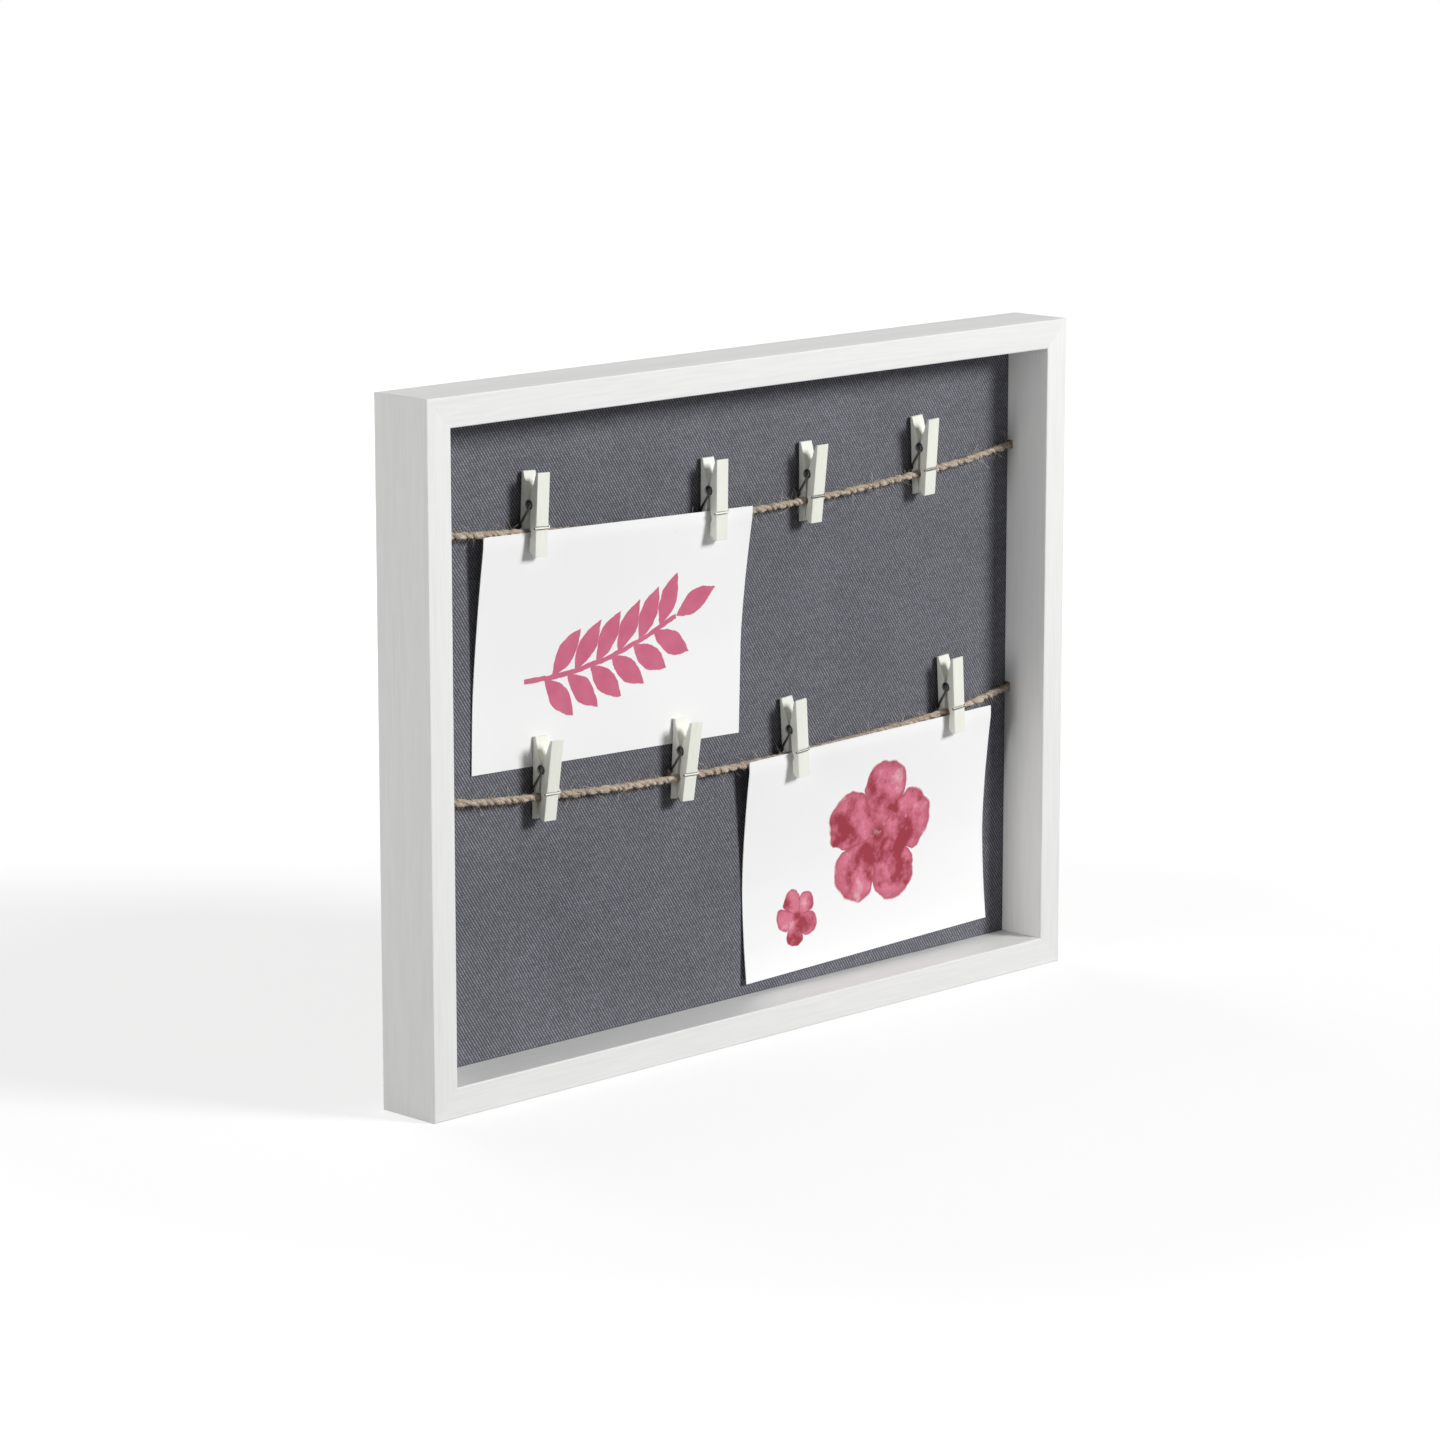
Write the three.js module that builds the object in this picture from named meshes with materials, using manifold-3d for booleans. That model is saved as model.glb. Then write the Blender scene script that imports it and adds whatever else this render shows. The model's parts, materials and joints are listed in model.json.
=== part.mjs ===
// A deep picture frame with a canvas-covered back, across which two twines carry small sprung pegs.
// Millimetres. X runs to the right, Y back towards the wall and Z up, from the middle of the underside.
import * as THREE from "three";
import { mergeVertices } from "three/addons/utils/BufferGeometryUtils.js";
import Module from "manifold-3d";

const wasm = await Module();
wasm.setup();

// How finely curves are drawn, points merged, places searched and wires sampled.
const CURVE_SEGMENTS = 6;
const NAIL_SIDES = 10;
const MERGE_DISTANCE = 1e-4;
const SEARCH_STEPS = 40;
const WIRE_SAMPLES = 400;
const OVERCUT = 1;

// Frame: four mitred rails, with a rebate behind the lip for the back panel.
const FRAME_WIDTH = 390;
const FRAME_HEIGHT = 300;
const FRAME_DEPTH = 32;
const RAIL_FACE = 13;
const LIP_DEPTH = 24;
const REBATE = 5;
const MITRE_GAP = 0.1;

// Corner nails: bent steel strips driven across each mitre from behind.
const V_NAIL_LEG = 4.2;
const V_NAIL_STEEL = 0.6;
const V_NAIL_LENGTH = 7;
const V_NAIL_HALF_ANGLE = THREE.MathUtils.degToRad(55);
const V_NAIL_INSET = 1.8;

// Back panel: a hardboard sheet wrapped in canvas, pressed in from behind.
const BOARD_THICKNESS = 2.5;
const CANVAS_THICKNESS = 0.7;
const CANVAS_HEM = 18;
const PANEL_PLAY = 0.5;
const FACE_GAP = 0.05;
const SLOT_GAP = 0.3;

// Steel points in the rebate wall that hold the panel.
const POINT_WIDTH = 6;
const POINT_STEEL = 0.5;
const POINT_REACH = 8;
const POINT_DRIVEN = 4.5;
const POINT_TAPER = 2;
const POINTS_ASIDE_X = 95;
const POINTS_ASIDE_Z = 75;

// Toothed hanger on the back of the top rail, and its two nails.
const HANGER_WIDTH = 46;
const HANGER_HEIGHT = 10;
const HANGER_STEEL = 0.9;
const HANGER_DROP = 2.5;
const HANGER_TEETH = 9;
const HANGER_TOOTH_PITCH = 3;
const HANGER_TOOTH_DEPTH = 1.6;
const NAIL_SPACING = 38;
const NAIL_BELOW_TOP = 2.4;
const NAIL_RADIUS = 0.6;
const NAIL_HEAD_RADIUS = 1.7;
const NAIL_HEAD = 0.7;
const NAIL_LENGTH = 8;

// Pegs: two wooden legs on a coil spring. Heights are measured from the middle of the coil.
const PEG_WIDTH = 7;
const PEG_LENGTH = 35;
const PEG_HANDLE = 13.4;
const PEG_HANDLE_DEPTH = 11.4;
const PEG_TIP_DEPTH = 7.6;
const HANDLE_END = 1.2;
const FULCRUM_HALF_GAP = 0.6;
const JAW_HALF_GAP = 0.2;
const TIP_ROUND = 2.8;
const PEG_CLEAR_OF_CANVAS = 1.2;
const CARD_OPENS_PEG = THREE.MathUtils.degToRad(6);

// Springs: the coil lies in a round notch, and each arm hooks over a groove in a leg.
const WIRE = 0.9;
const COIL_RADIUS = 1.55;
const COIL_CLEARANCE = 0.3;
const COIL_FULL_TURNS = 4;
const GROOVE_HEIGHT = -9.8;
const GROOVE_DEPTH = 1.0;
const WIRE_CLEARANCE = 0.3;
const HOOK_BEND = 0.7;
const HOOK_BEND_SHARES = [0.3, 1];
const STEPS_PER_TURN = 8;
const WIRE_SIDES = 5;
const LEAST_WIRE_GAP = 0.4;

// Twines: their ends lie in grooves behind the side lips, and the pegs hold them off the canvas.
const TWINE_DIAMETER = 2.8;
const TWINE_SIDES = 8;
const TWINE_STEPS = 56;
const TWINE_IN_PEG = 1.0;
const TWINE_BELOW_COIL = 12;
const TWINE_CLEARANCE = 0.3;
const TWINE_FRONT_ROOM = 1.0;
const TWINE_END_GAP = 0.8;
const TWINE_DIP = 2.0;
const UPPER_TWINE_BELOW_LIP = 57;

// Each twine's run: share of the half span to the right of the middle, and rise above its lowest point.
const UPPER_TWINE_RUN = [
  [-1, 10.5],
  [-0.913, 9.2],
  [-0.806, 7.7],
  [-0.644, 5.5],
  [-0.483, 3.2],
  [-0.322, 1.3],
  [-0.161, 0.3],
  [0, 0],
  [0.161, 0.4],
  [0.322, 1.4],
  [0.483, 3.0],
  [0.644, 5.2],
  [0.806, 7.9],
  [0.913, 9.9],
  [1, 11.6],
];
const LOWER_TWINE_RUN = [
  [-1, 12],
  [-0.913, 10],
  [-0.806, 7.4],
  [-0.644, 4.9],
  [-0.483, 2.8],
  [-0.322, 1.3],
  [-0.161, 0.4],
  [0, 0.1],
  [0.161, 0.4],
  [0.322, 1.3],
  [0.483, 2.7],
  [0.644, 4.3],
  [0.806, 6.7],
  [0.913, 8.9],
  [1, 11.2],
];

// Cards: stiff paper that stands off at the pegs and bends back to the canvas further down.
const CARD_THICKNESS = 0.3;
const CARD_COLUMNS = 6;
const CARD_ROWS = 14;
const CARD_REST_GAP = 0.45;
const CARD_STRAIGHT_TOP = 4.5;
const CARD_BEND_POWER = 1.5;
const UPPER_CARD_WIDTH = 158;
const UPPER_CARD_HEIGHT = 100.5;
const UPPER_CARD_FROM_LEFT_LIP = 33.3;
const UPPER_CARD_ABOVE_TWINE = 4.55;
const UPPER_CARD_SETTLES = 69;
const UPPER_CARD_SKEW = 7;
const UPPER_CARD_TURN = THREE.MathUtils.degToRad(-1.5);
const LOWER_CARD_WIDTH = 158;
const LOWER_CARD_HEIGHT = 101;
const LOWER_CARD_FROM_RIGHT_LIP = 16.4;
const LOWER_CARD_ABOVE_LIP = 7;
const LOWER_CARD_ABOVE_TWINE = 3;
const LOWER_CARD_SETTLES = 60;
const LOWER_CARD_BOTTOM_LIFT = 1.8;
const LOWER_CARD_TURN = THREE.MathUtils.degToRad(1.3);

// Pegs: distances from the card's edge or the lip's inner edge that each one is placed by.
const PEG_1_IN_FROM_CARD = 28.7;
const PEG_2_IN_FROM_CARD = 23.3;
const PEG_3_OUT_FROM_CARD = 37.7;
const PEG_4_FROM_RIGHT_LIP = 62;
const PEG_5_FROM_LEFT_LIP = 68;
const PEG_6_OUT_FROM_CARD = 39.6;
const PEG_7_IN_FROM_CARD = 29.4;
const PEG_8_IN_FROM_CARD = 26.6;

// Levels that follow from the driving dimensions.
const FRONT = -FRAME_DEPTH / 2;
const BACK = FRAME_DEPTH / 2;
const LIP_BACK = FRONT + LIP_DEPTH;
const CANVAS_FRONT = LIP_BACK + FACE_GAP;
const BOARD_FRONT = CANVAS_FRONT + CANVAS_THICKNESS + FACE_GAP;
const BOARD_BACK = BOARD_FRONT + BOARD_THICKNESS;
const PANEL_BACK = BOARD_BACK + FACE_GAP + CANVAS_THICKNESS;
const OPENING_WIDTH = FRAME_WIDTH - 2 * RAIL_FACE;
const OPENING_HEIGHT = FRAME_HEIGHT - 2 * RAIL_FACE;
const REBATE_WIDTH = OPENING_WIDTH + 2 * REBATE;
const REBATE_HEIGHT = OPENING_HEIGHT + 2 * REBATE;
const MIDDLE_HEIGHT = FRAME_HEIGHT / 2;
const RIGHT_LIP = OPENING_WIDTH / 2;
const LEFT_LIP = -RIGHT_LIP;
const UPPER_CARD_LEFT = LEFT_LIP + UPPER_CARD_FROM_LEFT_LIP;
const UPPER_CARD_RIGHT = UPPER_CARD_LEFT + UPPER_CARD_WIDTH;
const LOWER_CARD_RIGHT = RIGHT_LIP - LOWER_CARD_FROM_RIGHT_LIP;
const LOWER_CARD_LEFT = LOWER_CARD_RIGHT - LOWER_CARD_WIDTH;
const LOWER_CARD_TOP = RAIL_FACE + LOWER_CARD_ABOVE_LIP + LOWER_CARD_HEIGHT;
const UPPER_TWINE_HEIGHT = FRAME_HEIGHT - RAIL_FACE - UPPER_TWINE_BELOW_LIP;
const LOWER_TWINE_HEIGHT = LOWER_CARD_TOP - LOWER_CARD_ABOVE_TWINE;
const UPPER_CARD_TOP = UPPER_TWINE_HEIGHT + UPPER_CARD_ABOVE_TWINE;

const CARDS = [
  {
    name: "card_upper",
    x: (UPPER_CARD_LEFT + UPPER_CARD_RIGHT) / 2,
    top: UPPER_CARD_TOP,
    width: UPPER_CARD_WIDTH,
    height: UPPER_CARD_HEIGHT,
    turn: UPPER_CARD_TURN,
    settles: UPPER_CARD_SETTLES,
    skew: UPPER_CARD_SKEW,
    bottomLift: 0,
  },
  {
    name: "card_lower",
    x: (LOWER_CARD_LEFT + LOWER_CARD_RIGHT) / 2,
    top: LOWER_CARD_TOP,
    width: LOWER_CARD_WIDTH,
    height: LOWER_CARD_HEIGHT,
    turn: LOWER_CARD_TURN,
    settles: LOWER_CARD_SETTLES,
    skew: 0,
    bottomLift: LOWER_CARD_BOTTOM_LIFT,
  },
];

// Pegs along the twines, with their lean to the right in degrees, and whether they hold a card.
const PEGS = [
  { name: "peg_1", twine: "upper", x: UPPER_CARD_LEFT + PEG_1_IN_FROM_CARD, roll: 2.8, holdsCard: true },
  { name: "peg_2", twine: "upper", x: UPPER_CARD_RIGHT - PEG_2_IN_FROM_CARD, roll: 0.5, holdsCard: true },
  { name: "peg_3", twine: "upper", x: UPPER_CARD_RIGHT + PEG_3_OUT_FROM_CARD, roll: 0, holdsCard: false },
  { name: "peg_4", twine: "upper", x: RIGHT_LIP - PEG_4_FROM_RIGHT_LIP, roll: -2.8, holdsCard: false },
  { name: "peg_5", twine: "lower", x: LEFT_LIP + PEG_5_FROM_LEFT_LIP, roll: 2, holdsCard: false },
  { name: "peg_6", twine: "lower", x: LOWER_CARD_LEFT - PEG_6_OUT_FROM_CARD, roll: 3, holdsCard: false },
  { name: "peg_7", twine: "lower", x: LOWER_CARD_LEFT + PEG_7_IN_FROM_CARD, roll: -4, holdsCard: true },
  { name: "peg_8", twine: "lower", x: LOWER_CARD_RIGHT - PEG_8_IN_FROM_CARD, roll: -3.5, holdsCard: true },
];

// A closed geometry as a solid that can be joined and cut.
function solidOf(geometry) {
  const bare = geometry.clone();
  bare.deleteAttribute("normal");
  bare.deleteAttribute("uv");
  const merged = mergeVertices(bare, MERGE_DISTANCE);
  const mesh = new wasm.Mesh({
    numProp: 3,
    vertProperties: new Float32Array(merged.attributes.position.array),
    triVerts: new Uint32Array(merged.index.array),
  });
  return new wasm.Manifold(mesh);
}

// The geometry of a solid, with flat shading.
function geometryOf(solid) {
  const mesh = solid.getMesh();
  const geometry = new THREE.BufferGeometry();
  geometry.setAttribute("position", new THREE.BufferAttribute(mesh.vertProperties, 3));
  geometry.setIndex(new THREE.BufferAttribute(mesh.triVerts, 1));
  const faceted = geometry.toNonIndexed();
  faceted.computeVertexNormals();
  return faceted;
}

function cutAll(solid, cutters) {
  return cutters.reduce((left, cutter) => left.subtract(cutter), solid);
}

// An outline drawn in X and Z, thickened from yFront to yBack.
function plate(outline, yFront, yBack) {
  const settings = { depth: yBack - yFront, bevelEnabled: false, curveSegments: CURVE_SEGMENTS };
  const geometry = new THREE.ExtrudeGeometry(outline, settings);
  return geometry.rotateX(Math.PI / 2).translate(0, yBack, 0);
}

function outlineOf(points) {
  return new THREE.Shape(points.map(([x, z]) => new THREE.Vector2(x, z)));
}

function block(low, high) {
  const size = high.map((value, i) => value - low[i]);
  const middle = high.map((value, i) => (value + low[i]) / 2);
  return new THREE.BoxGeometry(...size).translate(...middle);
}

const finishes = {
  paintedRail: { color: 0xf1f1ee, roughness: 0.45, metalness: 0 },
  canvas: { color: 0x56565f, roughness: 0.95, metalness: 0 },
  hardboard: { color: 0x8a6a48, roughness: 0.8, metalness: 0 },
  twine: { color: 0xb59c7c, roughness: 0.95, metalness: 0 },
  paintedPeg: { color: 0xf0f1e6, roughness: 0.6, metalness: 0 },
  springWire: { color: 0x8c8c88, roughness: 0.35, metalness: 1 },
  paper: { color: 0xf6f4f2, roughness: 0.6, metalness: 0 },
  zincSteel: { color: 0xa9abad, roughness: 0.4, metalness: 1 },
};

function piece(name, geometry, finish) {
  const mesh = new THREE.Mesh(geometry, new THREE.MeshStandardMaterial(finishes[finish]));
  mesh.name = name;
  return mesh;
}

const frame = new THREE.Group();
frame.name = "picture_frame";

// Corners, each with the signs of its X and of its Z from the middle of the frame.
const corners = [
  { name: "top_left", sx: -1, sz: 1 },
  { name: "top_right", sx: 1, sz: 1 },
  { name: "bottom_left", sx: -1, sz: -1 },
  { name: "bottom_right", sx: 1, sz: -1 },
];

// A corner nail's chevron, its point on the mitre and its legs opening towards the outer corner.
function cornerNailOutline(corner, clearance) {
  const half = V_NAIL_STEEL / 2 + clearance;
  const leg = V_NAIL_LEG + clearance;
  const apexX = REBATE_WIDTH / 2 + V_NAIL_INSET;
  const apexZ = REBATE_HEIGHT / 2 + V_NAIL_INSET;
  const mitre = Math.PI / 4;
  const alongMitre = half / Math.sin(V_NAIL_HALF_ANGLE);
  const legs = [mitre + V_NAIL_HALF_ANGLE, mitre - V_NAIL_HALF_ANGLE];
  const [first, second] = legs.map((angle) => [Math.cos(angle), Math.sin(angle)]);
  const nose = [apexX - alongMitre * Math.cos(mitre), apexZ - alongMitre * Math.sin(mitre)];
  const crotch = [apexX + alongMitre * Math.cos(mitre), apexZ + alongMitre * Math.sin(mitre)];
  const end = (along, side) => [
    apexX + leg * along[0] - side * half * along[1],
    apexZ + leg * along[1] + side * half * along[0],
  ];
  const points = [nose, end(second, -1), end(second, 1), crotch, end(first, -1), end(first, 1)];
  return outlineOf(points.map(([x, z]) => [corner.sx * x, MIDDLE_HEIGHT + corner.sz * z]));
}

const cornerNailSlots = corners.map((corner) =>
  solidOf(plate(cornerNailOutline(corner, SLOT_GAP), BACK - V_NAIL_LENGTH - SLOT_GAP, BACK + OVERCUT)),
);
for (const corner of corners) {
  const outline = cornerNailOutline(corner, 0);
  const nail = plate(outline, BACK - V_NAIL_LENGTH, BACK - FACE_GAP);
  frame.add(piece(`corner_nail_${corner.name}`, nail, "zincSteel"));
}

// Panel points, two in each rail, pointing from the rebate wall over the panel's hem.
const POINT_FRONT = PANEL_BACK + SLOT_GAP;
const rebateWalls = [
  { turn: 0, wall: REBATE_HEIGHT / 2, aside: POINTS_ASIDE_X, names: ["top_left", "top_right"] },
  { turn: Math.PI, wall: REBATE_HEIGHT / 2, aside: POINTS_ASIDE_X, names: ["bottom_right", "bottom_left"] },
  { turn: -Math.PI / 2, wall: REBATE_WIDTH / 2, aside: POINTS_ASIDE_Z, names: ["left_lower", "left_upper"] },
  { turn: Math.PI / 2, wall: REBATE_WIDTH / 2, aside: POINTS_ASIDE_Z, names: ["right_upper", "right_lower"] },
];
const points = rebateWalls.flatMap(({ turn, wall, aside, names }) => [
  { name: names[0], x: -aside, turn, wall },
  { name: names[1], x: aside, turn, wall },
]);

// A point or its slot, drawn in the top rail's place and turned about the frame's middle to its own rail.
function panelPoint({ x, turn, wall }, clearance) {
  const half = POINT_WIDTH / 2 + clearance;
  const driven = wall + POINT_DRIVEN + clearance;
  const outline = outlineOf([
    [x - half, driven],
    [x - half, wall - POINT_REACH + POINT_TAPER],
    [x - half + POINT_TAPER, wall - POINT_REACH],
    [x + half - POINT_TAPER, wall - POINT_REACH],
    [x + half, wall - POINT_REACH + POINT_TAPER],
    [x + half, driven],
  ]);
  const tab = plate(outline, POINT_FRONT - clearance, POINT_FRONT + POINT_STEEL + clearance);
  return tab.rotateY(turn).translate(0, 0, MIDDLE_HEIGHT);
}

const pointSlots = points.map((point) => solidOf(panelPoint(point, SLOT_GAP)));
for (const point of points) {
  frame.add(piece(`panel_point_${point.name}`, panelPoint(point, 0), "zincSteel"));
}

// Hanger nails, with their holes in the top rail.
const NAIL_HEIGHT = FRAME_HEIGHT - (RAIL_FACE - REBATE) + HANGER_HEIGHT - HANGER_DROP - NAIL_BELOW_TOP;
const HANGER_BACK = BACK + FACE_GAP + HANGER_STEEL;

function pinAlongY(profile, x) {
  const outline = profile.map(([radius, y]) => new THREE.Vector2(radius, y));
  return new THREE.LatheGeometry(outline, NAIL_SIDES).translate(x, 0, NAIL_HEIGHT);
}

const nailHoles = [-1, 1].map((side) => {
  const radius = NAIL_RADIUS + SLOT_GAP;
  const bottom = BACK - NAIL_LENGTH - SLOT_GAP;
  const hole = [[0, bottom], [radius, bottom], [radius, BACK + OVERCUT], [0, BACK + OVERCUT]];
  return solidOf(pinAlongY(hole, (side * NAIL_SPACING) / 2));
});
for (const [side, name] of [[-1, "left"], [1, "right"]]) {
  const head = HANGER_BACK + FACE_GAP;
  const profile = [
    [0, BACK - NAIL_LENGTH],
    [NAIL_RADIUS, BACK - NAIL_LENGTH + 2 * NAIL_RADIUS],
    [NAIL_RADIUS, head],
    [NAIL_HEAD_RADIUS, head],
    [NAIL_HEAD_RADIUS, head + NAIL_HEAD / 2],
    [NAIL_RADIUS, head + NAIL_HEAD],
    [0, head + NAIL_HEAD],
  ];
  frame.add(piece(`hanger_nail_${name}`, pinAlongY(profile, (side * NAIL_SPACING) / 2), "zincSteel"));
}

// Toothed hanger plate, its toothed edge standing clear of the rail over the hollow behind the panel.
function hangerPlate() {
  const low = FRAME_HEIGHT - (RAIL_FACE - REBATE) - HANGER_DROP;
  const high = low + HANGER_HEIGHT;
  const half = HANGER_WIDTH / 2;
  const firstTooth = (-HANGER_TEETH * HANGER_TOOTH_PITCH) / 2;
  const outline = [[half, low], [half, high], [-half, high], [-half, low]];
  for (let i = 0; i < HANGER_TEETH; i++) {
    const x = firstTooth + i * HANGER_TOOTH_PITCH;
    outline.push([x, low], [x + HANGER_TOOTH_PITCH / 2, low + HANGER_TOOTH_DEPTH]);
  }
  outline.push([-firstTooth, low]);
  const shape = outlineOf(outline);
  for (const side of [-1, 1]) {
    const hole = new THREE.Path();
    hole.absarc((side * NAIL_SPACING) / 2, NAIL_HEIGHT, NAIL_RADIUS + SLOT_GAP, 0, 2 * Math.PI);
    shape.holes.push(hole);
  }
  return plate(shape, BACK + FACE_GAP, HANGER_BACK);
}
frame.add(piece("saw_tooth_hanger", hangerPlate(), "zincSteel"));

// A peg's outer face, as its distance from the peg's middle plane at a height above the coil.
const PEG_TIP = PEG_HANDLE - PEG_LENGTH;
function pegFace(height) {
  const share = (height - PEG_TIP) / PEG_LENGTH;
  return (PEG_TIP_DEPTH + (PEG_HANDLE_DEPTH - PEG_TIP_DEPTH) * share) / 2;
}

// Closed pegs lean forward so that the rear leg's outer face lies parallel to the canvas.
const PEG_LEAN = Math.atan((PEG_HANDLE_DEPTH - PEG_TIP_DEPTH) / 2 / PEG_LENGTH);
const leant = new THREE.Matrix4().makeRotationX(PEG_LEAN);
const REAR_FACE = new THREE.Vector3(0, pegFace(PEG_TIP), PEG_TIP).applyMatrix4(leant).y;
const TWINE_IN_LEANT_PEG = new THREE.Vector3(0, TWINE_IN_PEG, -TWINE_BELOW_COIL).applyMatrix4(leant).y;
const TWINE_STANDOFF = PEG_CLEAR_OF_CANVAS + REAR_FACE - TWINE_IN_LEANT_PEG;

// Twine routes: seated at the ends, dipping to them, and held off the canvas by the pegs between.
const TWINE_HALF_SPAN = REBATE_WIDTH / 2 - TWINE_END_GAP;
const TWINE_SEAT = TWINE_DIAMETER / 2 + TWINE_CLEARANCE;
function twineRoute(run, height) {
  const route = run.map(([share, rise], i) => {
    const fromEnd = Math.min(i, run.length - 1 - i);
    const standoff = [TWINE_SEAT, TWINE_STANDOFF - TWINE_DIP][fromEnd] ?? TWINE_STANDOFF;
    return new THREE.Vector3(share * TWINE_HALF_SPAN, CANVAS_FRONT - standoff, height + rise);
  });
  return new THREE.CatmullRomCurve3(route);
}
const twines = {
  upper: twineRoute(UPPER_TWINE_RUN, UPPER_TWINE_HEIGHT),
  lower: twineRoute(LOWER_TWINE_RUN, LOWER_TWINE_HEIGHT),
};

// The point of a twine at a place across the frame.
function twineAt(twine, x) {
  let low = 0;
  let high = 1;
  for (let i = 0; i < SEARCH_STEPS; i++) {
    const middle = (low + high) / 2;
    if (twine.getPoint(middle).x < x) low = middle;
    else high = middle;
  }
  return twine.getPoint(low);
}

const twineSection = outlineOf(
  Array.from({ length: TWINE_SIDES }, (_, i) => {
    const angle = (2 * Math.PI * i) / TWINE_SIDES;
    return [(TWINE_DIAMETER / 2) * Math.cos(angle), (TWINE_DIAMETER / 2) * Math.sin(angle)];
  }),
);
const twineGrooves = [];
for (const [name, twine] of Object.entries(twines)) {
  const run = new THREE.ExtrudeGeometry(twineSection, { extrudePath: twine, steps: TWINE_STEPS });
  frame.add(piece(`twine_${name}`, run, "twine"));
  const half = TWINE_DIAMETER / 2 + TWINE_CLEARANCE;
  for (const end of [twine.getPoint(0), twine.getPoint(1)]) {
    const side = Math.sign(end.x);
    const entry = twineAt(twine, (side * OPENING_WIDTH) / 2);
    const across = [side * (OPENING_WIDTH / 2 - OVERCUT), (side * REBATE_WIDTH) / 2];
    across.sort((a, b) => a - b);
    const heights = [end.z, entry.z].sort((a, b) => a - b);
    const top = Math.min(end.y, entry.y) - half;
    const low = [across[0], top, heights[0] - half];
    const high = [across[1], LIP_BACK + OVERCUT, heights[1] + half];
    twineGrooves.push(solidOf(block(low, high)));
  }
}

// Rails: a lip the full width of the face, and a narrower back part beside the rebate.
function railOutline(length, outer, inner) {
  const along = MITRE_GAP / Math.SQRT2;
  return outlineOf([
    [-length / 2 + along, outer],
    [length / 2 - along, outer],
    [length / 2 - (outer - inner) - along, inner],
    [-length / 2 + (outer - inner) + along, inner],
  ]);
}

function rail(length, distance, turn) {
  const lip = plate(railOutline(length, distance, distance - RAIL_FACE), FRONT, LIP_BACK);
  const wall = plate(railOutline(length, distance, distance - RAIL_FACE + REBATE), LIP_BACK, BACK);
  const [lipSolid, wallSolid] = [lip, wall].map((part) =>
    solidOf(part.rotateY(turn).translate(0, 0, MIDDLE_HEIGHT)),
  );
  const cutters = [...cornerNailSlots, ...pointSlots, ...nailHoles, ...twineGrooves];
  return geometryOf(cutAll(lipSolid.add(wallSolid), cutters));
}
frame.add(piece("rail_top", rail(FRAME_WIDTH, FRAME_HEIGHT / 2, 0), "paintedRail"));
frame.add(piece("rail_bottom", rail(FRAME_WIDTH, FRAME_HEIGHT / 2, Math.PI), "paintedRail"));
frame.add(piece("rail_left", rail(FRAME_HEIGHT, FRAME_WIDTH / 2, -Math.PI / 2), "paintedRail"));
frame.add(piece("rail_right", rail(FRAME_HEIGHT, FRAME_WIDTH / 2, Math.PI / 2), "paintedRail"));

// Back panel: the board, and the canvas that covers its front and edges and turns in behind.
const PANEL_HALF = [REBATE_WIDTH / 2 - PANEL_PLAY, REBATE_HEIGHT / 2 - PANEL_PLAY];
function panelBlock(inset, yFront, yBack) {
  const [x, z] = PANEL_HALF.map((half) => half - inset);
  return block([-x, yFront, MIDDLE_HEIGHT - z], [x, yBack, MIDDLE_HEIGHT + z]);
}
const BOARD_INSET = CANVAS_THICKNESS + FACE_GAP;
frame.add(piece("back_board", panelBlock(BOARD_INSET, BOARD_FRONT, BOARD_BACK), "hardboard"));
const canvas = cutAll(solidOf(panelBlock(0, CANVAS_FRONT, PANEL_BACK)), [
  solidOf(panelBlock(CANVAS_THICKNESS, BOARD_FRONT - FACE_GAP, BOARD_BACK + FACE_GAP)),
  solidOf(panelBlock(CANVAS_HEM, BOARD_BACK, PANEL_BACK + OVERCUT)),
]);
frame.add(piece("canvas_cover", geometryOf(canvas), "canvas"));

// A peg leg's side view, drawn with its outer face to the right, and thickened to the peg's width.
function pegLeg(twineOffset, notchRadius) {
  const coilNotch = COIL_RADIUS + WIRE / 2 + COIL_CLEARANCE;
  const coilAngle = Math.acos(FULCRUM_HALF_GAP / coilNotch);
  const twineHeight = -TWINE_BELOW_COIL;
  const notchStart = Math.acos((FULCRUM_HALF_GAP - twineOffset) / notchRadius);
  const notchEnd = -Math.acos((JAW_HALF_GAP - twineOffset) / notchRadius);
  const grooveHalf = WIRE / 2 + WIRE_CLEARANCE;
  const grooveLow = GROOVE_HEIGHT - grooveHalf;
  const grooveHigh = GROOVE_HEIGHT + grooveHalf;
  const shape = new THREE.Shape();
  shape.moveTo(pegFace(PEG_HANDLE), PEG_HANDLE);
  shape.lineTo(pegFace(PEG_HANDLE) - HANDLE_END, PEG_HANDLE);
  shape.absarc(0, 0, coilNotch, coilAngle, -coilAngle, true);
  shape.absarc(twineOffset, twineHeight, notchRadius, notchStart, notchEnd, true);
  shape.absarc(JAW_HALF_GAP + TIP_ROUND, PEG_TIP + TIP_ROUND, TIP_ROUND, Math.PI, 1.5 * Math.PI, false);
  shape.lineTo(pegFace(PEG_TIP), PEG_TIP);
  shape.lineTo(pegFace(grooveLow), grooveLow);
  shape.lineTo(pegFace(grooveLow) - GROOVE_DEPTH, grooveLow);
  shape.lineTo(pegFace(grooveHigh) - GROOVE_DEPTH, grooveHigh);
  shape.lineTo(pegFace(grooveHigh), grooveHigh);
  const settings = { depth: PEG_WIDTH, bevelEnabled: false, curveSegments: CURVE_SEGMENTS };
  const toSide = new THREE.Matrix4().makeBasis(
    new THREE.Vector3(0, 1, 0),
    new THREE.Vector3(0, 0, 1),
    new THREE.Vector3(1, 0, 0),
  );
  const geometry = new THREE.ExtrudeGeometry(shape, settings).applyMatrix4(toSide);
  return geometry.translate(-PEG_WIDTH / 2, 0, 0);
}

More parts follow.
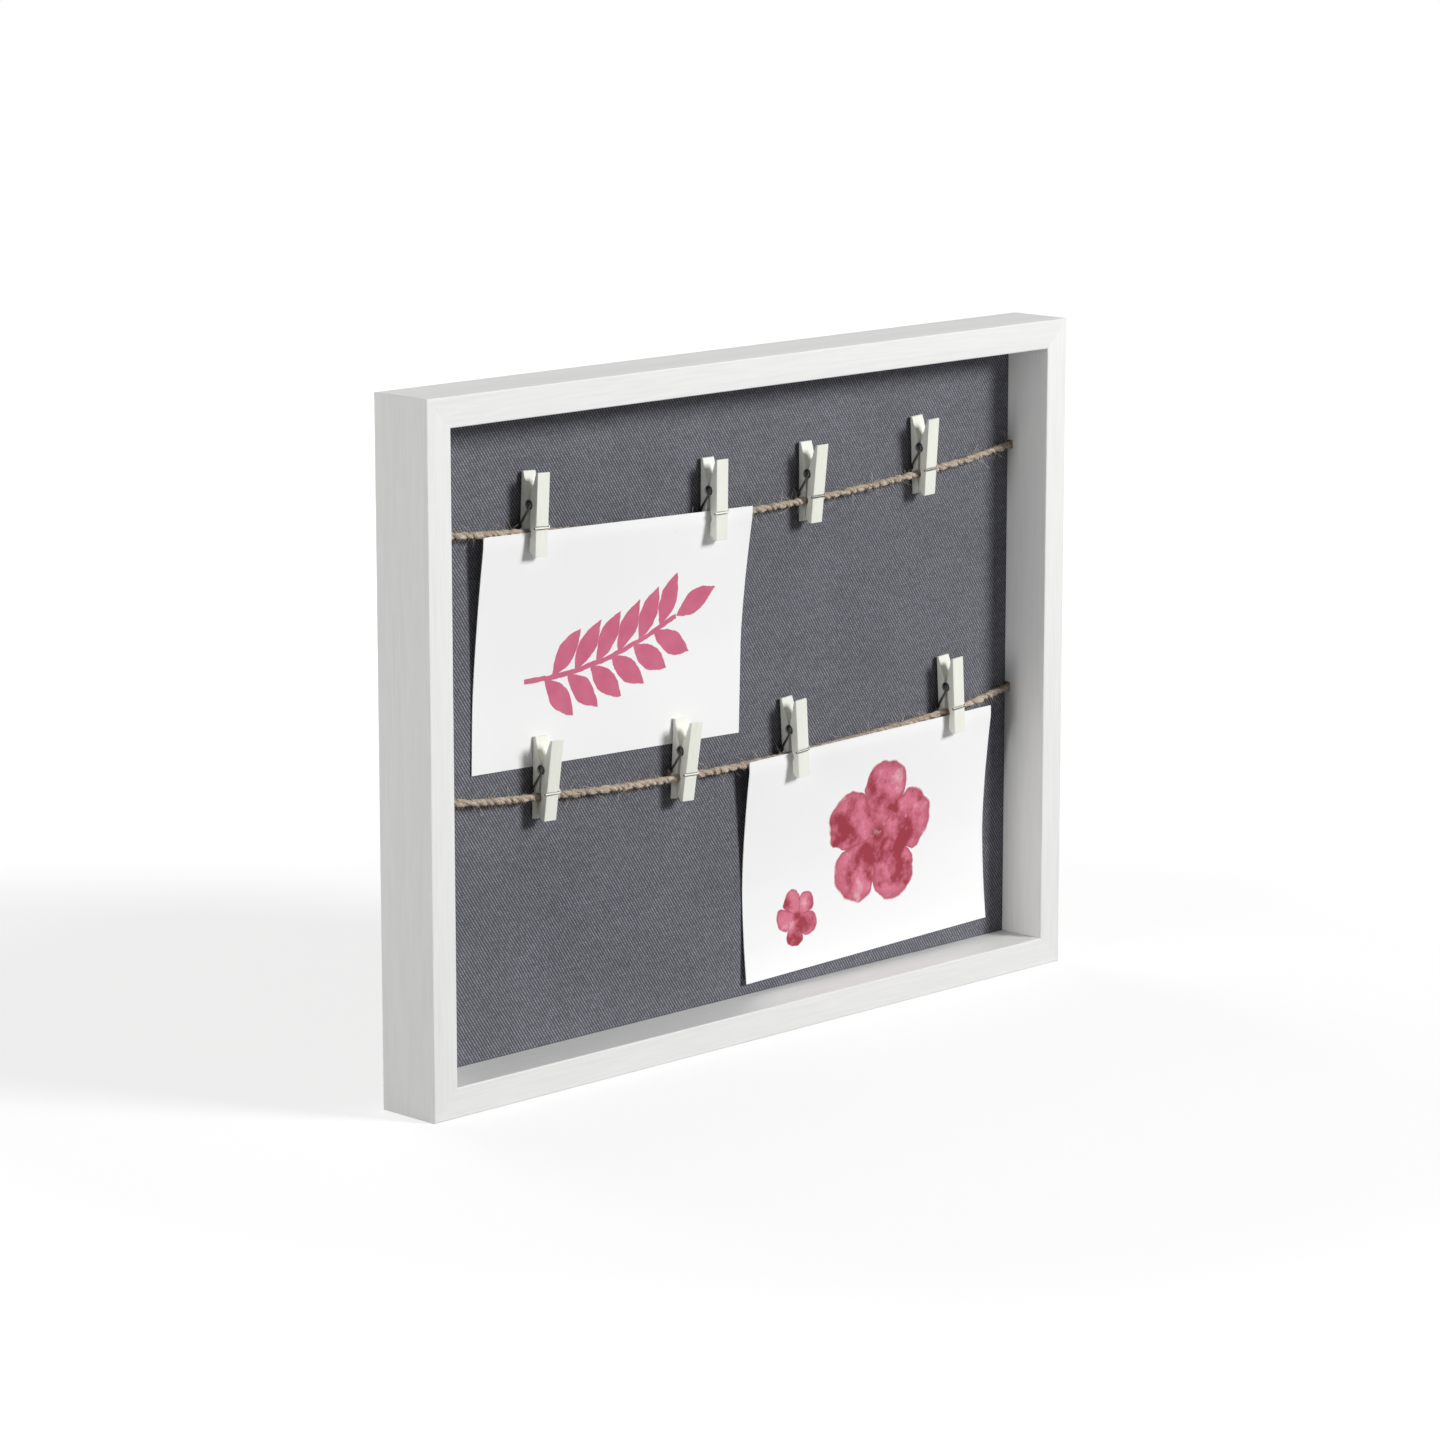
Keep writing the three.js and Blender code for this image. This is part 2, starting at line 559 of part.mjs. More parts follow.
const rearNotch = TWINE_DIAMETER / 2 + TWINE_CLEARANCE;
const rearLeg = pegLeg(TWINE_IN_PEG, rearNotch);
const frontLeg = pegLeg(-TWINE_IN_PEG, TWINE_DIAMETER / 2 + TWINE_FRONT_ROOM).rotateZ(Math.PI);

// A spring's wire: the hook over the rear leg, its arm, the coil, and the arm and hook of the front leg.
function springWire(opened) {
  const side = PEG_WIDTH / 2 + WIRE_CLEARANCE + WIRE / 2;
  const hookY = pegFace(GROOVE_HEIGHT) - GROOVE_DEPTH + WIRE_CLEARANCE + WIRE / 2;
  const reach = Math.hypot(hookY, GROOVE_HEIGHT);
  const hookAngle = Math.atan2(GROOVE_HEIGHT, hookY);
  const tangent = Math.acos(COIL_RADIUS / reach);
  const startAngle = hookAngle - tangent;
  const endAngle = Math.PI - startAngle - opened - 2 * Math.PI * (COIL_FULL_TURNS + 1);
  const steps = Math.round(((startAngle - endAngle) / (2 * Math.PI)) * STEPS_PER_TURN);
  const coil = [];
  for (let i = 0; i <= steps; i++) {
    const angle = startAngle + ((endAngle - startAngle) * i) / steps;
    const x = -side + (2 * side * i) / steps;
    coil.push(new THREE.Vector3(x, COIL_RADIUS * Math.cos(angle), COIL_RADIUS * Math.sin(angle)));
  }
  const hookEnd = (sign) => {
    const up = new THREE.Vector3(0, -hookY * sign, -GROOVE_HEIGHT).normalize();
    const corner = new THREE.Vector3(-side * sign, hookY * sign, GROOVE_HEIGHT);
    const along = corner.clone().setX(side * sign);
    const bend = HOOK_BEND_SHARES.map((share) => corner.clone().addScaledVector(up, HOOK_BEND * share));
    const turned = corner.clone().setX(-(side - HOOK_BEND) * sign);
    return [along, turned, ...bend];
  };
  const rearHook = hookEnd(1);
  const frontHook = hookEnd(-1).map((point) =>
    point.applyAxisAngle(new THREE.Vector3(1, 0, 0), -opened),
  );
  return [...rearHook, ...coil, ...frontHook.reverse()];
}

// A round wire through the points, which set off along X, closed at both ends and without twist.
function wireTube(points) {
  const last = points.length - 1;
  const tangents = points.map((_, i) =>
    points[Math.min(i + 1, last)].clone().sub(points[Math.max(i - 1, 0)]).normalize(),
  );
  const across = new THREE.Vector3(0, 0, 1).cross(tangents[0]).normalize();
  const positions = [];
  points.forEach((point, i) => {
    across.addScaledVector(tangents[i], -across.dot(tangents[i])).normalize();
    const up = tangents[i].clone().cross(across);
    for (let k = 0; k < WIRE_SIDES; k++) {
      const angle = (2 * Math.PI * k) / WIRE_SIDES;
      const rim = point.clone();
      rim.addScaledVector(across, (WIRE / 2) * Math.cos(angle));
      rim.addScaledVector(up, (WIRE / 2) * Math.sin(angle));
      positions.push(...rim.toArray());
    }
  });
  const faces = [];
  for (let i = 0; i < last; i++) {
    for (let k = 0; k < WIRE_SIDES; k++) {
      const a = i * WIRE_SIDES + k;
      const b = i * WIRE_SIDES + ((k + 1) % WIRE_SIDES);
      faces.push(a, b, b + WIRE_SIDES, a, b + WIRE_SIDES, a + WIRE_SIDES);
    }
  }
  for (let k = 1; k < WIRE_SIDES - 1; k++) {
    faces.push(0, k + 1, k);
    faces.push(last * WIRE_SIDES, last * WIRE_SIDES + k, last * WIRE_SIDES + k + 1);
  }
  const geometry = new THREE.BufferGeometry();
  geometry.setAttribute("position", new THREE.Float32BufferAttribute(positions, 3));
  geometry.setIndex(faces);
  geometry.computeVertexNormals();
  return geometry;
}

// The least space between two stretches of a wire that aren't neighbours along it.
function leastWireGap(wirePoints) {
  const curve = new THREE.CurvePath();
  wirePoints.slice(1).forEach((point, i) => curve.add(new THREE.LineCurve3(wirePoints[i], point)));
  const samples = curve.getSpacedPoints(WIRE_SAMPLES);
  const step = curve.getLength() / WIRE_SAMPLES;
  const apart = Math.ceil((Math.PI * COIL_RADIUS) / step);
  let least = Infinity;
  for (let i = 0; i < samples.length; i++) {
    for (let k = i + apart; k < samples.length; k++) {
      least = Math.min(least, samples[i].distanceTo(samples[k]) - WIRE);
    }
  }
  return least;
}

for (const { name, twine, x, roll, holdsCard } of PEGS) {
  const opened = holdsCard ? CARD_OPENS_PEG : 0;
  const peg = new THREE.Group();
  peg.name = name;
  peg.rotation.set(PEG_LEAN, THREE.MathUtils.degToRad(roll), 0, "YXZ");
  const throat = new THREE.Vector3(0, TWINE_IN_PEG, -TWINE_BELOW_COIL).applyEuler(peg.rotation);
  peg.position.copy(twineAt(twines[twine], x)).sub(throat);
  const wire = springWire(opened);
  const gap = leastWireGap(wire);
  console.log(`${name} spring: least gap to itself ${gap.toFixed(2)} mm, wanted over ${LEAST_WIRE_GAP}`);
  const front = piece(`${name}_front_leg`, frontLeg, "paintedPeg");
  front.rotation.x = -opened;
  peg.add(piece(`${name}_rear_leg`, rearLeg, "paintedPeg"));
  peg.add(front);
  peg.add(piece(`${name}_spring`, wireTube(wire), "springWire"));
  frame.add(peg);
}

// A card's distance from the canvas, at a share across it and a distance below its top edge.
const CARD_STANDOFF = TWINE_STANDOFF + TWINE_DIAMETER / 2 + TWINE_CLEARANCE + CARD_THICKNESS / 2;
function cardStandoff(card, across, below) {
  const rest = CARD_REST_GAP + CARD_THICKNESS / 2;
  const settles = card.settles - card.skew * across;
  if (below < settles) {
    const bent = Math.max(0, below - CARD_STRAIGHT_TOP) / (settles - CARD_STRAIGHT_TOP);
    return rest + (CARD_STANDOFF - rest) * (1 - bent) ** CARD_BEND_POWER;
  }
  return rest + card.bottomLift * ((below - settles) / (card.height - settles)) ** 2;
}

function cardSheet(card) {
  const rings = [];
  for (const face of [-1, 1]) {
    for (let row = 0; row <= CARD_ROWS; row++) {
      for (let column = 0; column <= CARD_COLUMNS; column++) {
        const across = (2 * column) / CARD_COLUMNS - 1;
        const below = (card.height * row) / CARD_ROWS;
        const point = new THREE.Vector3((across * card.width) / 2, 0, -below);
        point.applyAxisAngle(new THREE.Vector3(0, 1, 0), -card.turn);
        point.x += card.x;
        point.z += card.top;
        point.y = CANVAS_FRONT - cardStandoff(card, across, below) + (face * CARD_THICKNESS) / 2;
        rings.push(...point.toArray());
      }
    }
  }
  const perRow = CARD_COLUMNS + 1;
  const perFace = perRow * (CARD_ROWS + 1);
  const faces = [];
  const quad = (a, b, c, d) => faces.push(a, b, c, a, c, d);
  for (let row = 0; row < CARD_ROWS; row++) {
    for (let column = 0; column < CARD_COLUMNS; column++) {
      const a = row * perRow + column;
      quad(a, a + perRow, a + perRow + 1, a + 1);
      quad(perFace + a, perFace + a + 1, perFace + a + perRow + 1, perFace + a + perRow);
    }
  }
  for (let column = 0; column < CARD_COLUMNS; column++) {
    const bottom = CARD_ROWS * perRow + column;
    quad(column, column + 1, perFace + column + 1, perFace + column);
    quad(bottom + 1, bottom, perFace + bottom, perFace + bottom + 1);
  }
  for (let row = 0; row < CARD_ROWS; row++) {
    const left = row * perRow;
    const right = left + CARD_COLUMNS;
    quad(left + perRow, left, perFace + left, perFace + left + perRow);
    quad(right, right + perRow, perFace + right + perRow, perFace + right);
  }
  const geometry = new THREE.BufferGeometry();
  geometry.setAttribute("position", new THREE.Float32BufferAttribute(rings, 3));
  geometry.setIndex(faces);
  geometry.computeVertexNormals();
  return geometry;
}
for (const card of CARDS) frame.add(piece(card.name, cardSheet(card), "paper"));

export default frame;
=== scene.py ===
import json
import math

import bmesh
import bpy
import numpy as np
from mathutils import Matrix, Vector


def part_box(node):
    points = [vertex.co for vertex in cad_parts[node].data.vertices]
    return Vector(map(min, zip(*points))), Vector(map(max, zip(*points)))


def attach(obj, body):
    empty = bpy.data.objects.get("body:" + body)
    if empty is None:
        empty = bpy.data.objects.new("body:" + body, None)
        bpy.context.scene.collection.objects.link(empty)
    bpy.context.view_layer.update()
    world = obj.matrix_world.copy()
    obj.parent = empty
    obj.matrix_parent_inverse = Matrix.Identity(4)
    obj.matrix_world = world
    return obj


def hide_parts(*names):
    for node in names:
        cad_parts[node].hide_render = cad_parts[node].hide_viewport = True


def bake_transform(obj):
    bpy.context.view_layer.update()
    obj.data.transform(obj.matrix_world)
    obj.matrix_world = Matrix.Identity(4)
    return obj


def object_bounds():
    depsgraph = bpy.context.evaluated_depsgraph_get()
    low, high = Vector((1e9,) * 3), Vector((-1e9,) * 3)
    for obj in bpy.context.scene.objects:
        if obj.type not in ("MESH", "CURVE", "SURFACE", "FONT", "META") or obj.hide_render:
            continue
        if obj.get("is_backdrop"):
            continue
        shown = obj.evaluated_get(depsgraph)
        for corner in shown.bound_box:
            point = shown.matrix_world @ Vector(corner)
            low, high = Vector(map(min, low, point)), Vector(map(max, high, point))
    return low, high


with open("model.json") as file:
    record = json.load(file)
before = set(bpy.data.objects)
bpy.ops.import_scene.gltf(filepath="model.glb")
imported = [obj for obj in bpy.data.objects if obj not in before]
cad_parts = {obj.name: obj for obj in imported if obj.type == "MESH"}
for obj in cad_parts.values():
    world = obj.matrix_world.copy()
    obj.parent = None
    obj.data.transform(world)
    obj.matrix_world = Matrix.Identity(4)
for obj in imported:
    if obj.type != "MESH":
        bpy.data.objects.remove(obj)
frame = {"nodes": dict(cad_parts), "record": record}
cad_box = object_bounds()


# Rails: four lengths of planed wood, mitred and glued into a deep white box without glass.
# A rebate behind the lip takes the back panel. The long edges are eased with sandpaper, and
# the satin paint is brushed along each rail.
RAIL_EASE = 0.0006
RAIL_SHORTEST_EASED = 0.04
RAIL_COLOURS = dict(Paint=(0.9, 0.9, 0.89, 1), Shade=(0.82, 0.82, 0.805, 1))
RAIL_MARKS = dict(Streaks=700.0, Patches=30.0, Smooth=0.4, Rough=0.55)
RAIL_RELIEF = dict(strength=0.18, distance=0.0002)
RAIL_GRAINS = {"upright": (1, 1, 0.05), "level": (0.05, 1, 1)}
RAILS = {"top": "level", "bottom": "level", "left": "upright", "right": "upright"}
PAINT_MOTTLE = (0.38, 0.66)
NOISE_MIDDLE = (0.3, 0.7)
WELD_DISTANCE = 1e-6
FLAT_ANGLE = math.radians(0.5)
EDGE_ANGLE = math.radians(35)
CRISP_ANGLE = math.radians(50)


def feed(tree, node, inputs):
    """Fills a node's inputs, each with a value or with a link from a socket."""
    for label, term in inputs.items():
        if isinstance(term, bpy.types.NodeSocket):
            tree.links.new(term, node.inputs[label])
        else:
            node.inputs[label].default_value = term


def add(tree, kind, inputs, **settings):
    """A new node with its settings and its inputs."""
    node = tree.nodes.new(kind)
    for setting, value in settings.items():
        setattr(node, setting, value)
    feed(tree, node, inputs)
    return node


def new_material(name):
    """An empty material, with its node tree and its one surface shader."""
    material = bpy.data.materials.new(name)
    material.use_nodes = True
    return material, material.node_tree, material.node_tree.nodes["Principled BSDF"]


def new_group(name, family, inputs, outputs):
    """A node group with what it is given and its result. Its sockets are named kinds."""
    group = bpy.data.node_groups.new(name, f"{family}NodeTree")
    for in_out, sockets in (("INPUT", inputs), ("OUTPUT", outputs)):
        for label, kind in sockets.items():
            group.interface.new_socket(label, in_out=in_out, socket_type=f"NodeSocket{kind}")
    return group, group.nodes.new("NodeGroupInput").outputs, group.nodes.new("NodeGroupOutput")


def placed(tree, group, **inputs):
    """The outputs of a group placed in a tree, with its own inputs."""
    return add(tree, "ShaderNodeGroup", inputs, node_tree=group).outputs


def maths(tree, operation, *terms):
    """One sum of the terms, each a number or a socket."""
    return add(tree, "ShaderNodeMath", dict(enumerate(terms)), operation=operation).outputs[0]


def mixed(tree, share, first, second):
    """A colour between two others, each a colour or a socket."""
    inputs = {0: share, 6: first, 7: second}
    return add(tree, "ShaderNodeMix", inputs, data_type="RGBA").outputs[2]


def spread(tree, value, low, high, to_low=0.0, to_high=1.0):
    """A value stretched from one range to another."""
    inputs = {"Value": value, "From Min": low, "From Max": high, "To Min": to_low, "To Max": to_high}
    return add(tree, "ShaderNodeMapRange", inputs).outputs["Result"]


def noise(tree, vector, scale, detail=3.0, roughness=0.55):
    """A noise value over a vector."""
    inputs = {"Vector": vector, "Scale": scale, "Detail": detail, "Roughness": roughness}
    return add(tree, "ShaderNodeTexNoise", inputs).outputs["Fac"]


def stretched(tree, scale=(1, 1, 1)):
    """Object coordinates, scaled so that a grain runs along one direction."""
    place = tree.nodes.new("ShaderNodeTexCoord").outputs["Object"]
    return add(tree, "ShaderNodeMapping", {"Vector": place, "Scale": scale}).outputs["Vector"]


def bumped(tree, shader, height, strength, distance):
    """A relief on the shader's normal."""
    bump = add(tree, "ShaderNodeBump", {"Height": height, "Strength": strength, "Distance": distance})
    feed(tree, shader, {"Normal": bump.outputs["Normal"]})


def brushed_paint_group():
    """Paint with brush streaks along its vector's slow direction, and a broad unevenness."""
    group, given, result = new_group(
        "brushed_paint",
        "Shader",
        dict(Vector="Vector", Paint="Color", Shade="Color", **dict.fromkeys(RAIL_MARKS, "Float")),
        dict(Color="Color", Roughness="Float", Height="Float"),
    )
    streaks = noise(group, given["Vector"], given["Streaks"], detail=4)
    patches = noise(group, given["Vector"], given["Patches"], detail=2)
    both = maths(group, "MULTIPLY_ADD", patches, 0.5, maths(group, "MULTIPLY", streaks, 0.5))
    share = spread(group, both, *PAINT_MOTTLE)
    feed(group, result, {
        "Color": mixed(group, share, given["Paint"], given["Shade"]),
        "Roughness": spread(group, patches, *NOISE_MIDDLE, given["Smooth"], given["Rough"]),
        "Height": streaks,
    })
    return group


brushed_paint = brushed_paint_group()


def painted(name, grain, relief, **paint):
    """A painted surface with brush marks along its grain."""
    material, tree, shader = new_material(name)
    coat = placed(tree, brushed_paint, Vector=stretched(tree, grain), **paint)
    feed(tree, shader, {"Base Color": coat["Color"], "Roughness": coat["Roughness"]})
    bumped(tree, shader, coat["Height"], **relief)
    return material


def shown(name, data):
    """A new object at the origin, linked into the scene."""
    thing = bpy.data.objects.new(name, data)
    bpy.context.collection.objects.link(thing)
    return thing


def applied(holder):
    """The mesh that a holder's modifiers make. The holder is then removed."""
    bpy.context.view_layer.update()
    evaluated = holder.evaluated_get(bpy.context.evaluated_depsgraph_get())
    mesh = bpy.data.meshes.new_from_object(evaluated)
    bpy.data.objects.remove(holder)
    return mesh


def eased_copy(node, ease, shortest, segments=3):
    """A solid's mesh with coplanar triangles joined, longer edges rounded and flat faces."""
    mesh = frame["nodes"][node].data.copy()
    work = bmesh.new()
    work.from_mesh(mesh)
    bmesh.ops.remove_doubles(work, verts=work.verts, dist=WELD_DISTANCE)
    bmesh.ops.dissolve_limit(work, angle_limit=FLAT_ANGLE, verts=work.verts, edges=work.edges)
    edges = [
        edge
        for edge in work.edges
        if edge.is_manifold and edge.calc_length() > shortest and edge.calc_face_angle() > EDGE_ANGLE
    ]
    bmesh.ops.bevel(
        work, geom=edges, offset=ease, segments=segments, profile=0.5, affect="EDGES", clamp_overlap=False
    )
    bmesh.ops.triangulate(work, faces=[face for face in work.faces if len(face.verts) > 4])
    work.to_mesh(mesh)
    work.free()
    mesh.shade_smooth()
    mesh.set_sharp_from_angle(angle=CRISP_ANGLE)
    holder = shown(mesh.name, mesh)
    holder.modifiers.new("flat_faces", "WEIGHTED_NORMAL").keep_sharp = True
    return applied(holder)


def new_piece(name, mesh, material, body):
    """A finished piece at the origin, riding on a body."""
    mesh.name = name
    mesh.materials.clear()
    mesh.materials.append(material)
    piece = shown(name, mesh)
    if body:
        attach(piece, body)
    return piece


rail_paints = {
    lie: painted(f"white_paint_{lie}", grain, RAIL_RELIEF, **RAIL_COLOURS, **RAIL_MARKS)
    for lie, grain in RAIL_GRAINS.items()
}
for side, lie in RAILS.items():
    mesh = eased_copy(f"rail_{side}", RAIL_EASE, RAIL_SHORTEST_EASED)
    rail = new_piece(f"painted_rail_{side}", mesh, rail_paints[lie], "frame")
    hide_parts(f"rail_{side}")


# Corner nails: V-shaped strips of hardened steel driven across each mitre from behind, flush with
# the wood. Their plating is dull, with the faint crystals of hot zinc.
ZINC = (0.56, 0.57, 0.58, 1)
ZINC_DARK = (0.38, 0.39, 0.41, 1)
ZINC_CRYSTALS = 900.0
ZINC_SCRATCHES = 2500.0
ZINC_GLOSS = (0.28, 0.5)
ZINC_RELIEF = dict(strength=0.15, distance=0.0001)
CRYSTAL_SHARE = 0.6
CORNERS = ("top_left", "top_right", "bottom_left", "bottom_right")


def zinc_crystals_group():
    """Plated steel: crystal patches of two tones, with their own gloss."""
    group, given, result = new_group(
        "zinc_crystals",
        "Shader",
        dict(Vector="Vector", Light="Color", Dark="Color", Crystals="Float"),
        dict(Color="Color", Roughness="Float", Height="Float"),
    )
    cells = add(group, "ShaderNodeTexVoronoi", {"Vector": given["Vector"], "Scale": given["Crystals"]})
    grey = add(group, "ShaderNodeSeparateColor", {"Color": cells.outputs["Color"]}).outputs["Red"]
    scratches = noise(group, given["Vector"], ZINC_SCRATCHES, detail=4)
    rest = maths(group, "MULTIPLY", scratches, 1 - CRYSTAL_SHARE)
    tone = maths(group, "MULTIPLY_ADD", grey, CRYSTAL_SHARE, rest)
    feed(group, result, {
        "Color": mixed(group, tone, given["Light"], given["Dark"]),
        "Roughness": spread(group, tone, 0, 1, *ZINC_GLOSS),
        "Height": scratches,
    })
    return group


zinc_crystals = zinc_crystals_group()


def zinc_steel(name, crystals, light=ZINC, dark=ZINC_DARK):
    """Bare steel under a zinc or blued skin."""
    material, tree, shader = new_material(name)
    zinc = placed(tree, zinc_crystals, Vector=stretched(tree), Light=light, Dark=dark, Crystals=crystals)
    feed(tree, shader, {"Base Color": zinc["Color"], "Roughness": zinc["Roughness"], "Metallic": 1.0})
    bumped(tree, shader, zinc["Height"], **ZINC_RELIEF)
    return material


def dress(node, material):
    """A CAD solid that keeps its shape and takes a finish."""
    piece = frame["nodes"][node]
    piece.data.materials.clear()
    piece.data.materials.append(material)


nail_steel = zinc_steel("zinc_plated_nail", ZINC_CRYSTALS)
for corner in CORNERS:
    dress(f"corner_nail_{corner}", nail_steel)


# Back board: a sheet of hardboard cut to the rebate, smooth in front and with the print of the
# pressing screen behind, where it shows inside the canvas hem.
BOARD_BROWN = (0.2, 0.115, 0.055, 1)
BOARD_DARK = (0.11, 0.06, 0.03, 1)
BOARD_FIBRES = dict(scale=900.0, detail=6, roughness=0.7)
BOARD_MOTTLE = dict(scale=35.0, detail=4)
BOARD_TONES = (0.4, 1.1)
BOARD_MOTTLE_SHARE = 0.9
BOARD_HEIGHT_SHARE = 0.6
BOARD_RELIEF = dict(strength=0.5, distance=0.0003)
SCREEN_PITCH = 0.0018
SCREEN_DEPTH = 0.3


def hardboard():
    """Pressed brown fibres, with a fine square screen print and a broad mottle."""
    material, tree, shader = new_material("pressed_hardboard")
    vector = stretched(tree)
    fibres = noise(tree, vector, **BOARD_FIBRES)
    apart = add(tree, "ShaderNodeSeparateXYZ", {"Vector": vector}).outputs
    waves = []
    for axis in ("X", "Z"):
        phase = maths(tree, "MULTIPLY", apart[axis], 2 * math.pi / SCREEN_PITCH)
        waves.append(maths(tree, "SINE", phase))
    screen = maths(tree, "MULTIPLY", *waves)
    height = maths(tree, "MULTIPLY_ADD", screen, SCREEN_DEPTH, fibres)
    mottle = noise(tree, vector, **BOARD_MOTTLE)
    relief = maths(tree, "MULTIPLY", height, BOARD_HEIGHT_SHARE)
    tone = maths(tree, "MULTIPLY_ADD", mottle, BOARD_MOTTLE_SHARE, relief)
    brown = mixed(tree, spread(tree, tone, *BOARD_TONES), BOARD_DARK, BOARD_BROWN)
    feed(tree, shader, {"Base Color": brown, "Roughness": 0.75})
    bumped(tree, shader, height, **BOARD_RELIEF)
    return material


dress("back_board", hardboard())


# Canvas: slate-grey cotton in a firm plain weave, with thin upright threads and thicker level ones.
# It is stretched over the board's front and edges and glued down behind in an 18 mm hem, mitred at
# the corners.
CANVAS_WARP = 0.00078
CANVAS_WEFT = 0.00114
CANVAS_WOBBLE = (0.0005, 0.0, 0.0008)
CANVAS_WOBBLE_SCALE = 130.0
CANVAS_CROSSING = (-0.8, 0.8)
CANVAS_WARP_ROUND = (0.6, 1.0)
CANVAS_WEFT_DENT = (0.4, 1.0)
CANVAS_SHADE_TO_THREAD = (0.1, 0.6)
CANVAS_YARN_GRAIN = (0.3, 1, 1)
CANVAS_YARN = dict(scale=450.0, detail=3)
CANVAS_YARN_TONES = (0.92, 1.08)
CANVAS_FADE = dict(scale=22.0, detail=2)
CANVAS_FADE_TONES = (0.94, 1.08)
CANVAS_SLUBS = dict(scale=500.0, detail=2)
CANVAS_WEAR = (0.38, 1.0)
# The darkest colour is painted shade in the low gaps between threads. The palest is for raised crowns,
# partly wear on some threads and partly a painted highlight.
CANVAS_GAP_SHADE = (0.086, 0.088, 0.1, 1)
CANVAS_THREAD = (0.176, 0.178, 0.207, 1)
CANVAS_WORN_HIGHLIGHT = (0.318, 0.32, 0.362, 1)
CANVAS_RELIEF = dict(strength=0.4, distance=0.0002)
CANVAS_HEM = 0.018
CANVAS_EASE = 0.00028
CANVAS_SHORTEST_EASED = 0.002
CANVAS_MITRE_GAP = 0.0006
CANVAS_MITRE_DEPTH = 0.0005


def canvas_weave_group():
    """Upright threads that pass over one level thread and under the next: their height and wear."""
    group, given, result = new_group(
        "canvas_weave",
        "Shader",
        dict(Vector="Vector", Warp="Float", Weft="Float"),
        dict(Height="Float", Worn="Float"),
    )
    wobble = add(group, "ShaderNodeTexNoise", {"Vector": given["Vector"], "Scale": CANVAS_WOBBLE_SCALE})
    shift = {0: wobble.outputs["Color"], 1: CANVAS_WOBBLE, 2: given["Vector"]}
    shifted = add(group, "ShaderNodeVectorMath", shift, operation="MULTIPLY_ADD").outputs["Vector"]
    apart = add(group, "ShaderNodeSeparateXYZ", {"Vector": shifted}).outputs
    across = maths(group, "DIVIDE", apart["X"], given["Warp"])
    up = maths(group, "DIVIDE", apart["Z"], given["Weft"])
    crossed = maths(group, "MULTIPLY", maths(group, "ADD", across, up), math.pi)
    over = spread(group, maths(group, "COSINE", crossed), *CANVAS_CROSSING)
    rounds = []
    for count in (across, up):
        phase = maths(group, "MULTIPLY", maths(group, "FRACT", count), math.pi)
        rounds.append(maths(group, "SINE", phase))
    warp = maths(group, "MULTIPLY", over, spread(group, rounds[0], 0, 1, *CANVAS_WARP_ROUND))
    height = maths(group, "MULTIPLY", warp, spread(group, rounds[1], 0, 1, *CANVAS_WEFT_DENT))
    crossing = {"X": maths(group, "FLOOR", across), "Y": maths(group, "FLOOR", up)}
    crossing = add(group, "ShaderNodeCombineXYZ", crossing).outputs["Vector"]
    thread = add(group, "ShaderNodeTexWhiteNoise", {"Vector": crossing}, noise_dimensions="2D")
    slubs = noise(group, given["Vector"], **CANVAS_SLUBS)
    worn = maths(group, "MULTIPLY_ADD", thread.outputs["Value"], 0.5, slubs)
    feed(group, result, {"Height": height, "Worn": spread(group, worn, *CANVAS_WEAR)})
    return group


canvas_weave = canvas_weave_group()


def toned(tree, colour, value):
    """A colour made lighter or darker by a value."""
    return add(tree, "ShaderNodeHueSaturation", {"Color": colour, "Value": value}).outputs["Color"]


def slate_canvas():
    """Dyed cotton: grey threads, painted shade in the low gaps, paler crowns partly worn and partly a
    painted highlight, uneven yarn and a faint fading.
    """
    material, tree, shader = new_material("slate_canvas")
    vector = stretched(tree)
    weave = placed(tree, canvas_weave, Vector=vector, Warp=CANVAS_WARP, Weft=CANVAS_WEFT)
    # Low places in the weave take painted shade. Raised crowns take a paler colour that is partly wear
    # and partly a painted highlight.
    risen = spread(tree, weave["Height"], *CANVAS_SHADE_TO_THREAD)
    thread = mixed(tree, risen, CANVAS_GAP_SHADE, CANVAS_THREAD)
    worn_highlight = maths(tree, "MULTIPLY", weave["Worn"], weave["Height"])
    highlit_thread = mixed(tree, worn_highlight, thread, CANVAS_WORN_HIGHLIGHT)
    fade = spread(tree, noise(tree, vector, **CANVAS_FADE), *NOISE_MIDDLE, *CANVAS_FADE_TONES)
    yarn = noise(tree, stretched(tree, CANVAS_YARN_GRAIN), **CANVAS_YARN)
    thick_and_thin = spread(tree, yarn, *NOISE_MIDDLE, *CANVAS_YARN_TONES)
    cloth = toned(tree, highlit_thread, maths(tree, "MULTIPLY", fade, thick_and_thin))
    feed(tree, shader, {
        "Base Color": cloth, "Roughness": 0.95, "Specular IOR Level": 0.0, "Sheen Weight": 0.05
    })
    bumped(tree, shader, weave["Height"], **CANVAS_RELIEF)
    return material


